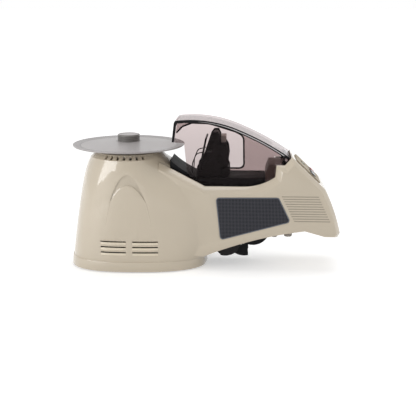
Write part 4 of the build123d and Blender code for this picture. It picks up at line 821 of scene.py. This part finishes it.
class DISPENSER_OT_cover_band(bpy.types.Operator):
    """Make the dark band of the cover's top edge, its pale line, which is a painted highlight, and the edging
    of the window, which is painted darkness
    """

    bl_idname = "dispenser.cover_band"
    bl_label = "Band and edging of the cover"

    def execute(self, context):
        width, line = fittings().band, fittings().line
        assembled("cover_band", [self.strip(-33.0, 0.2 * MM, width, 0.1)], "cover", "dark")
        middle = width * 0.52
        # The pale line is a painted highlight along the band's rounded edge, fading in from its start
        pale = self.strip(-6.0, middle - line / 2, middle + line / 2, 0.2, 60.0)
        assembled("cover_line", [pale], "cover", "dark", "cover_line")
        # Painted darkness along the window's cut edge
        assembled("window_painted_dark_edge", [self.edging()], "cover", "dark")
        return {"FINISHED"}

    def strip(self, start, near, far, proud, fade=0.0):
        """Bar along the cover's top edge, between two distances under it, from a place in X."""
        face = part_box("cover_trim")[0].y
        # The two arcs of the top edge: first point, point on the way, last point
        crown = ((-36.8, 201.8), (5.6, 201.8), (51.1, 188.9))
        fall = ((51.1, 188.9), (84.5, 172.9), (113.9, 154.9))
        stations = []
        for arc, first, last, count in ((crown, start, 51.0, 24), (fall, 51.2, 109.0, 24)):
            middle_x, middle_z, radius = circle_through(*arc)
            for step in range(count + 1):
                x = first + (last - first) * step / count
                z = middle_z + (radius**2 - (x - middle_x) ** 2) ** 0.5
                inward = Vector((middle_x - x, 0, middle_z - z)).normalized()
                half = (far - near) / 2 * (min(1.0, 0.15 + (x - start) / fade) if fade else 1.0)
                middle = Vector((x, 0, z)) * MM + inward * (near + far) / 2
                stations.append((middle, inward * half))
        return rail(face, stations, ((-1, 0.15), (-1, -proud), (1, -proud), (1, 0.15)))

    def edging(self):
        """Bar along the window's edge on the operator's wall, with its two round corners; its dark colour is
        painted darkness of the tinted sheet's cut edge.
        """
        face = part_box("smoke_cover")[1].y
        corners = ((-39.4, 176.2), (-31.4, 184.6), (-18.4, 189.5), (5.6, 188.8), (41.1, 177.9))
        corners += ((52.3, 172.0), (53.1, 128.5), (33.1, 128.5))
        path = [Vector(corners[0])]
        for before, here, after in zip(corners, corners[1:], corners[2:]):
            here = Vector(here)
            one, two = (Vector(before) - here).normalized(), (Vector(after) - here).normalized()
            reach = 6.0 if here.x > 50 else 1.5
            for share in (0.0, 0.25, 0.5, 0.75, 1.0):
                first, second = here + one * reach * (1 - share), here + two * reach * share
                path.append(first.lerp(second, share))
        path.append(Vector(corners[-1]))
        stations = []
        for index, here in enumerate(path):
            way = path[min(index + 1, len(path) - 1)] - path[max(index - 1, 0)]
            outward = Vector((-way.y, 0, way.x)).normalized()
            stations.append((Vector((here.x, 0, here.y)) * MM, outward * fittings().edging))
        return rail(face, stations, ((0, -0.3), (0, 0.7), (1, 0.7), (1, -0.3)))


class DISPENSER_OT_turret_trim(bpy.types.Operator):
    """Make the lips under the turret's vents and the creases below the arch, along the skin"""

    bl_idname = "dispenser.turret_trim"
    bl_label = "Vent lips and creases"

    def execute(self, context):
        housing = skin("main_housing")
        vent_middles, vent_feet = (-118.7, -75.7), (27.1, 34.4, 41.7)
        lips = [self.lip(housing, middle, low) for middle in vent_middles for low in vent_feet]
        # The lips take the paler beige of a painted highlight
        assembled("vent_lips", lips, "root", "shell", "lip")
        assembled("arch_creases", [self.crease(housing, side) for side in (-1, 1)], "root", "shell")
        return {"FINISHED"}

    def lip(self, housing, middle, low):
        """Bulge under one vent slot that runs out at both ends."""
        stand = fittings().lip
        columns = 18
        sections = []
        for column in range(columns + 1):
            share = column / columns
            x = (middle - 17.0 + 34.0 * share) * MM
            full = min(1.0, 8 * min(share, 1 - share) + 0.15)
            section = []
            for drop, out in ((0.05, 0.05), (1.4, 0.6), (2.6, 1.0), (2.9, 0.8), (3.1, 0.0)):
                z = (low - drop) * MM
                place, _ = touch(housing, (x, -0.1, z), (0, 1, 0))
                section.append(Vector((x, place.y - stand * out * full + 0.02 * MM, z)))
            section.append(section[2] + Vector((0, stand + 0.4 * MM, 0)))
            sections.append(section)
        return bar(sections)

    def crease(self, housing, side):
        """Low ridge that goes on from a tip of the arch and fades out."""
        sections = []
        rows = 20
        for row in range(rows + 1):
            share = row / rows
            z = (97.0 - 36.0 * share) * MM
            x = ARCH_X + side * (23.6 + 9.4 * share - 1.6 * share * share) * MM
            full = (1.0 - share) ** 0.5 * min(1.0, 0.3 + 4 * share)
            section = []
            for off, out in ((-1.0, -0.1), (-0.5, 0.26), (0.0, 0.42), (0.5, 0.26), (1.0, -0.1)):
                place, _ = touch(housing, (x + off * MM, -0.1, z), (0, 1, 0))
                section.append(Vector((x + off * MM, place.y - out * full * MM, z)))
            section.append(Vector((x, section[2].y + 0.6 * MM, z)))
            sections.append(section)
        return bar(sections)


def in_face(axis, first, second):
    """A vector in the plane across an axis, y or z."""
    return Vector((first, 0, second) if axis == "y" else (first, second, 0))


class DISPENSER_OT_screws(bpy.types.Operator):
    """Make the visible screw heads"""

    bl_idname = "dispenser.screws"
    bl_label = "Screws"

    def execute(self, context):
        sizes = fittings()
        tree = screw_tree()
        tower = ((9.0, 169.5), (25.0, 168.4), (-5.2, 129.6))
        cover = ((1.0, 99.0), (1.5, 30.0), (97.0, 103.0), (118.0, 61.0), (167.0, 62.0), (139.0, 107.0))
        wheel = ((7.0, 98.0), (90.0, 101.0), (90.0, 57.0), (7.0, 40.0))
        power = ((-113.5, 29.5), (-76.5, 29.5), (-113.5, 50.5), (-76.5, 50.5))
        # Node that is screwed, where each screw sits on it, which way its head looks, scale, slot
        groups = (
            ("tower_plate_near", tower, "-y", 0.75, "zinc"),
            ("tower_plate_far", tower, "+y", 0.75, "steel"),
            ("carousel_frame", wheel, "+y", 0.9, "steel"),
            ("side_cover", cover, "+y", 1.1, "zinc"),
            ("power_plate", power, "+y", 0.7, "steel"),
            ("base_pan", ((-135.0, 30.0), (-135.0, -30.0), (-71.0, 30.0), (-71.0, -30.0)), "-z", 1.0, "zinc"),
            ("deck_liner", ((74.0, 22.0), (74.0, -22.0), (42.0, 22.0), (42.0, -22.0)), "+z", 0.8, "zinc"),
        )
        for node, places, way, scale, slot in groups:
            sign = 1 if way[0] == "+" else -1
            aim = Vector((0, sign, 0)) if way[1] == "y" else Vector((0, 0, sign))
            surface = skin(node)
            points = []
            for number, (first, second) in enumerate(places):
                place, _ = touch(surface, in_face(way[1], first, second) * MM + aim * 0.5, -aim)
                lean = 0.7 * number
                points.append((place - aim * 0.05 * MM, aim, in_face(way[1], cos(lean), sin(lean))))
            given = {
                "Radius": sizes.screw_radius * scale,
                "Height": sizes.screw_height * (0.5 if "tower" in node else 1.0),
                "Slot": sizes.screw_slot,
            }
            grown(node + "_screws", tree, points, BODY_OF[node], slot, **given)
        return {"FINISHED"}


def around(axis, middle, radius, count, start=0.0):
    """Directions and places spread evenly round an axis, y or z; middle and radius in millimetres."""
    for step in range(count):
        angle = start + 2 * pi * step / count
        out = in_face(axis, cos(angle), sin(angle))
        yield out, (middle + out * radius) * MM


class DISPENSER_OT_ribs(bpy.types.Operator):
    """Make the ribs of the pivot knob, of the carousel and of the turntable's underside"""

    bl_idname = "dispenser.ribs"
    bl_label = "Ribs"

    def execute(self, context):
        tree = rib_tree()
        sizes = fittings()
        sideways = Vector((0, 1, 0))
        knob = middle_of("pivot_knob") / MM
        knob.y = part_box("pivot_knob")[0].y / MM + 2.9
        points = [(place, out, sideways) for out, place in around("y", knob, 5.9, sizes.knob_ribs)]
        grown("knob_ribs", tree, points, "root", "dark", Length=4.6 * MM, Width=1.1 * MM, Height=0.5 * MM)

        hub = middle_of("carousel_shaft") / MM
        hub.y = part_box("carousel_plate_far")[1].y / MM
        spokes = around("y", hub, 29.0, sizes.wheel_ribs, radians(-25.5))
        points = [(place, sideways, out) for out, place in spokes]
        grown("wheel_ribs", tree, points, "carousel", "dark", Length=30 * MM, Width=1.8 * MM, Height=1.1 * MM)
        outer = ((24.0, -0.1), (24.0, 0.6), (24.3, 0.9), (25.5, 0.9), (25.8, 0.6), (25.8, -0.1))
        inner = ((12.4, -0.1), (12.4, 0.9), (12.8, 1.3), (14.0, 1.3), (14.4, 0.9), (14.4, -0.1))
        rings = [ring(section, hub * MM, sideways, 64) for section in (outer, inner)]
        assembled("wheel_rings", rings, "carousel", "dark")

        # The turntable's underside is a shallow cone that falls 4.6 mm over 46 mm
        slope = atan2(4.6, 46.0)
        cone = middle_of("disc_plate") / MM
        cone.z = 165.25
        points = []
        for out, place in around("z", cone, 42.5, sizes.disc_ribs):
            along = out * cos(slope) + Vector((0, 0, -sin(slope)))
            aim = -Vector((0, 0, cos(slope))) - out * sin(slope)
            points.append((place, aim, along))
        grown("disc_ribs", tree, points, "turntable", "disc", Length=36 * MM, Width=1.6 * MM, Height=1.8 * MM)
        return {"FINISHED"}


class DISPENSER_OT_springs(bpy.types.Operator):
    """Make the springs of the tension lever and of the pressure arm"""

    bl_idname = "dispenser.springs"
    bl_label = "Springs"

    def execute(self, context):
        tree = spring_tree()
        # Name, foot of the coil and the way it stands, slot, turns, radius and height
        for name, foot, way, slot, turns, radius, height in (
            ("lever_spring", (-4.8, -22.95, 135.0), (0, -1, 0), "zinc", 3.0, 2.4, 2.2),
            ("arm_spring", (30.6, 3.0, 133.2), (0, 1, 0), "steel", 8.0, 2.8, 10),
        ):
            point = (Vector(foot) * MM, way, (0, 0, 1))
            given = {"Turns": turns, "Radius": radius * MM, "Height": height * MM}
            grown(name, tree, [point], "root", slot, Wire=fittings().spring_wire, **given)
        return {"FINISHED"}


def printed(place, along, across, up, outline):
    """Bar of a printed mark: its outline in millimetres, sunk a little and hardly raised."""
    return bar(
        [
            [place + (along * x + across * y + up * height) * MM for x, y in outline]
            for height in (-0.1, 0.06)
        ]
    )


class DISPENSER_OT_keys(bpy.types.Operator):
    """Make the rings round the push buttons, their printed signs and the switch's marks"""

    bl_idname = "dispenser.keys"
    bl_label = "Keys and marks"

    def execute(self, context):
        panel = skin("control_panel")
        # How the panel faces, felt from above on a bare spot
        _, up = touch(panel, middle_of("control_panel") + Vector((-4, 22, 50)) * MM, (0, 0, -1))
        down_slope = Vector((up.z, 0, -up.x))
        rings, signs = [], []
        for number, node in enumerate(("push_button_1", "push_button_2", "push_button_3", "indicator_lens")):
            centre = middle_of(node)
            beside = 6.6 * MM if number < 3 else 4.6 * MM
            at, _ = touch(panel, centre + down_slope * beside + up * 0.02, -up)
            foot = at - down_slope * beside
            foot += down_slope * (centre - foot).dot(down_slope)
            inner = 4.5 if number < 3 else 2.7
            steps = ((0, -0.1), (0, 0.3), (0.3, 0.45), (0.9, 0.35), (1.1, -0.1))
            rings.append(ring([(inner + out, height) for out, height in steps], foot, up))
            if number < 3:
                signs.append(self.sign(number, foot - down_slope * 8.6 * MM, down_slope, up))
        assembled("key_rings", rings, "root", "dark")
        assembled("key_signs", signs, "root", "panel", "ink")
        self.switch_marks()
        return {"FINISHED"}

    def sign(self, number, place, along, up):
        """Flat printed sign: a triangle, a bar and a square."""
        across = up.cross(along)
        shapes = (
            ((1.3, 0), (-1.0, 1.3), (-1.0, -1.3)),
            ((0.4, 1.5), (-0.4, 1.5), (-0.4, -1.5), (0.4, -1.5)),
            ((1.1, 1.1), (-1.1, 1.1), (-1.1, -1.1), (1.1, -1.1)),
        )
        return printed(place, along, across, up, shapes[number])

    def switch_marks(self):
        """A bar and a ring on the two halves of the rocker."""
        rocker = skin("power_rocker")
        x, _, z = middle_of("power_rocker")
        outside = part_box("power_rocker")[1].y + 20 * MM
        place, facing = touch(rocker, (x, outside, z - 4.6 * MM), (0, -1, 0))
        circle = ring(((1.1, -0.1), (1.1, 0.06), (1.5, 0.06), (1.5, -0.1)), place, facing)
        place, facing = touch(rocker, (x, outside, z + 4.6 * MM), (0, -1, 0))
        along = Vector((0, facing.z, -facing.y))
        outline = ((1.5, 0.2), (-1.5, 0.2), (-1.5, -0.2), (1.5, -0.2))
        stroke = printed(place, along, Vector((1, 0, 0)), facing, outline)
        assembled("switch_marks", [circle, stroke], "rocker", "red_key", "ink")


class DISPENSER_OT_caps(bpy.types.Operator):
    """Make the rubber caps of the bosses under the arm"""

    bl_idname = "dispenser.caps"
    bl_label = "Boss caps"

    def execute(self, context):
        caps = []
        for x, radius, low in ((96.5, 3.6, 45.5), (115.0, 5.0, 46.6)):
            for y in (-30.0, 30.0):
                section = (
                    (radius - 0.4, 3.4),
                    (radius + 0.35, 3.3),
                    (radius + 0.45, 0.8),
                    (radius - 0.4, -0.25),
                    (radius * 0.55, -0.3),
                    (radius * 0.5, 0.1),
                    (0.0, 0.1),
                    (0.0, 0.6),
                    (radius - 0.4, 0.6),
                )
                caps.append(ring(section, Vector((x, y, low)) * MM, (0, 0, 1), 32))
        assembled("boss_caps", caps, "root", "grey_rubber", "cap")
        return {"FINISHED"}


class DISPENSER_OT_stage(bpy.types.Operator):
    """Make the floor, the lamps, the world and the camera"""

    bl_idname = "dispenser.stage"
    bl_label = "Studio"

    def execute(self, context):
        scene = context.scene
        scene.view_settings.view_transform = "Standard"
        reach = 30.0
        corners = [(-reach, -reach, 0), (reach, -reach, 0), (reach, reach, 0), (-reach, reach, 0)]
        mesh = bpy.data.meshes.new("floor")
        mesh.from_pydata(corners, [], [(0, 1, 2, 3)])
        pale = Material("pale_floor", base_color=(0.80, 0.80, 0.80), roughness=0.7, emission_strength=1.0)
        x, y, _ = pale.axes()
        settings = studio()
        glow = pale.between((x * x + y * y).root(), 0.8, 1.7, settings.near_glow, settings.far_glow)
        pale.set("Emission Color", pale.mix(pale.seen_ray() * glow, (0, 0, 0), (1, 1, 1)))
        mesh.materials.append(pale.data)
        placed("floor", mesh)
        self.light(scene)
        self.look(scene)
        return {"FINISHED"}

    def light(self, scene):
        """Soft boxes and a pale world that shows as white."""
        settings = studio()
        world = bpy.data.worlds.new("studio")
        scene.world = world
        world.use_nodes = True
        tree = world.node_tree
        sky = tree.nodes["Background"]
        sky.inputs["Color"].default_value = (1, 1, 1, 1)
        strength = Tree(tree).seen_ray() * (1.0 - settings.world_light) + settings.world_light
        join(tree, strength, sky.inputs["Strength"])
        for name, place, width, height, power in (
            ("left_box", (-1.08, -0.92, 0.46), 1.05, 0.52, settings.left_power),
            ("right_box", (1.35, -0.28, 0.44), 0.50, 0.45, settings.right_power),
            ("top_box", (0.05, 0.20, 1.35), 1.1, 0.9, settings.top_power),
        ):
            lamp = bpy.data.lights.new(name, "AREA")
            lamp.shape = "RECTANGLE"
            lamp.size, lamp.size_y = width, height
            lamp.energy = power
            holder = bpy.data.objects.new(name, lamp)
            scene.collection.objects.link(holder)
            holder.location = place
            aim = Vector((-0.03, 0, 0.10)) - Vector(place)
            holder.rotation_euler = aim.to_track_quat("-Z", "Y").to_euler()

    def look(self, scene):
        """Camera at the photograph's viewing angle."""
        settings = studio()
        data = bpy.data.cameras.new("camera")
        data.lens = settings.lens
        data.sensor_width = 36.0
        camera = bpy.data.objects.new("camera", data)
        scene.collection.objects.link(camera)
        camera.location = settings.camera_place
        turn, dip = settings.camera_turn, settings.camera_dip
        forward = Vector((-sin(turn) * cos(dip), cos(turn) * cos(dip), -sin(dip)))
        camera.rotation_euler = forward.to_track_quat("-Z", "Y").to_euler()
        scene.camera = camera


class DISPENSER_PT_panel(bpy.types.Panel):
    """Settings and steps of the dispenser"""

    bl_label = "Tape Dispenser"
    bl_idname = "DISPENSER_PT_panel"
    bl_space_type = "VIEW_3D"
    bl_region_type = "UI"
    bl_category = "Dispenser"

    def draw(self, context):
        for group in (finishes(), fittings(), studio()):
            column = self.layout.column()
            for name in group.bl_rna.properties.keys():
                if name not in ("rna_type", "name"):
                    column.prop(group, name)
        for operator in OPERATORS:
            self.layout.operator(operator.bl_idname)


OPERATORS = (
    DISPENSER_OT_solids,
    DISPENSER_OT_label,
    DISPENSER_OT_cover_band,
    DISPENSER_OT_turret_trim,
    DISPENSER_OT_screws,
    DISPENSER_OT_ribs,
    DISPENSER_OT_springs,
    DISPENSER_OT_keys,
    DISPENSER_OT_caps,
    DISPENSER_OT_stage,
)
GROUPS = {"dispenser_finishes": Finishes, "dispenser_fittings": Fittings, "dispenser_studio": Studio}


def register():
    """Adds the classes and the settings."""
    for kind in (*GROUPS.values(), *OPERATORS, DISPENSER_PT_panel):
        bpy.utils.register_class(kind)
    for name, group in GROUPS.items():
        setattr(bpy.types.Scene, name, PointerProperty(type=group))


def unregister():
    """Removes them again."""
    for name in GROUPS:
        delattr(bpy.types.Scene, name)
    for kind in reversed((*GROUPS.values(), *OPERATORS, DISPENSER_PT_panel)):
        bpy.utils.unregister_class(kind)


def main():
    """Registers the add-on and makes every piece."""
    register()
    for operator in OPERATORS:
        getattr(bpy.ops.dispenser, operator.bl_idname.split(".")[1])()


if __name__ == "__main__":
    main()
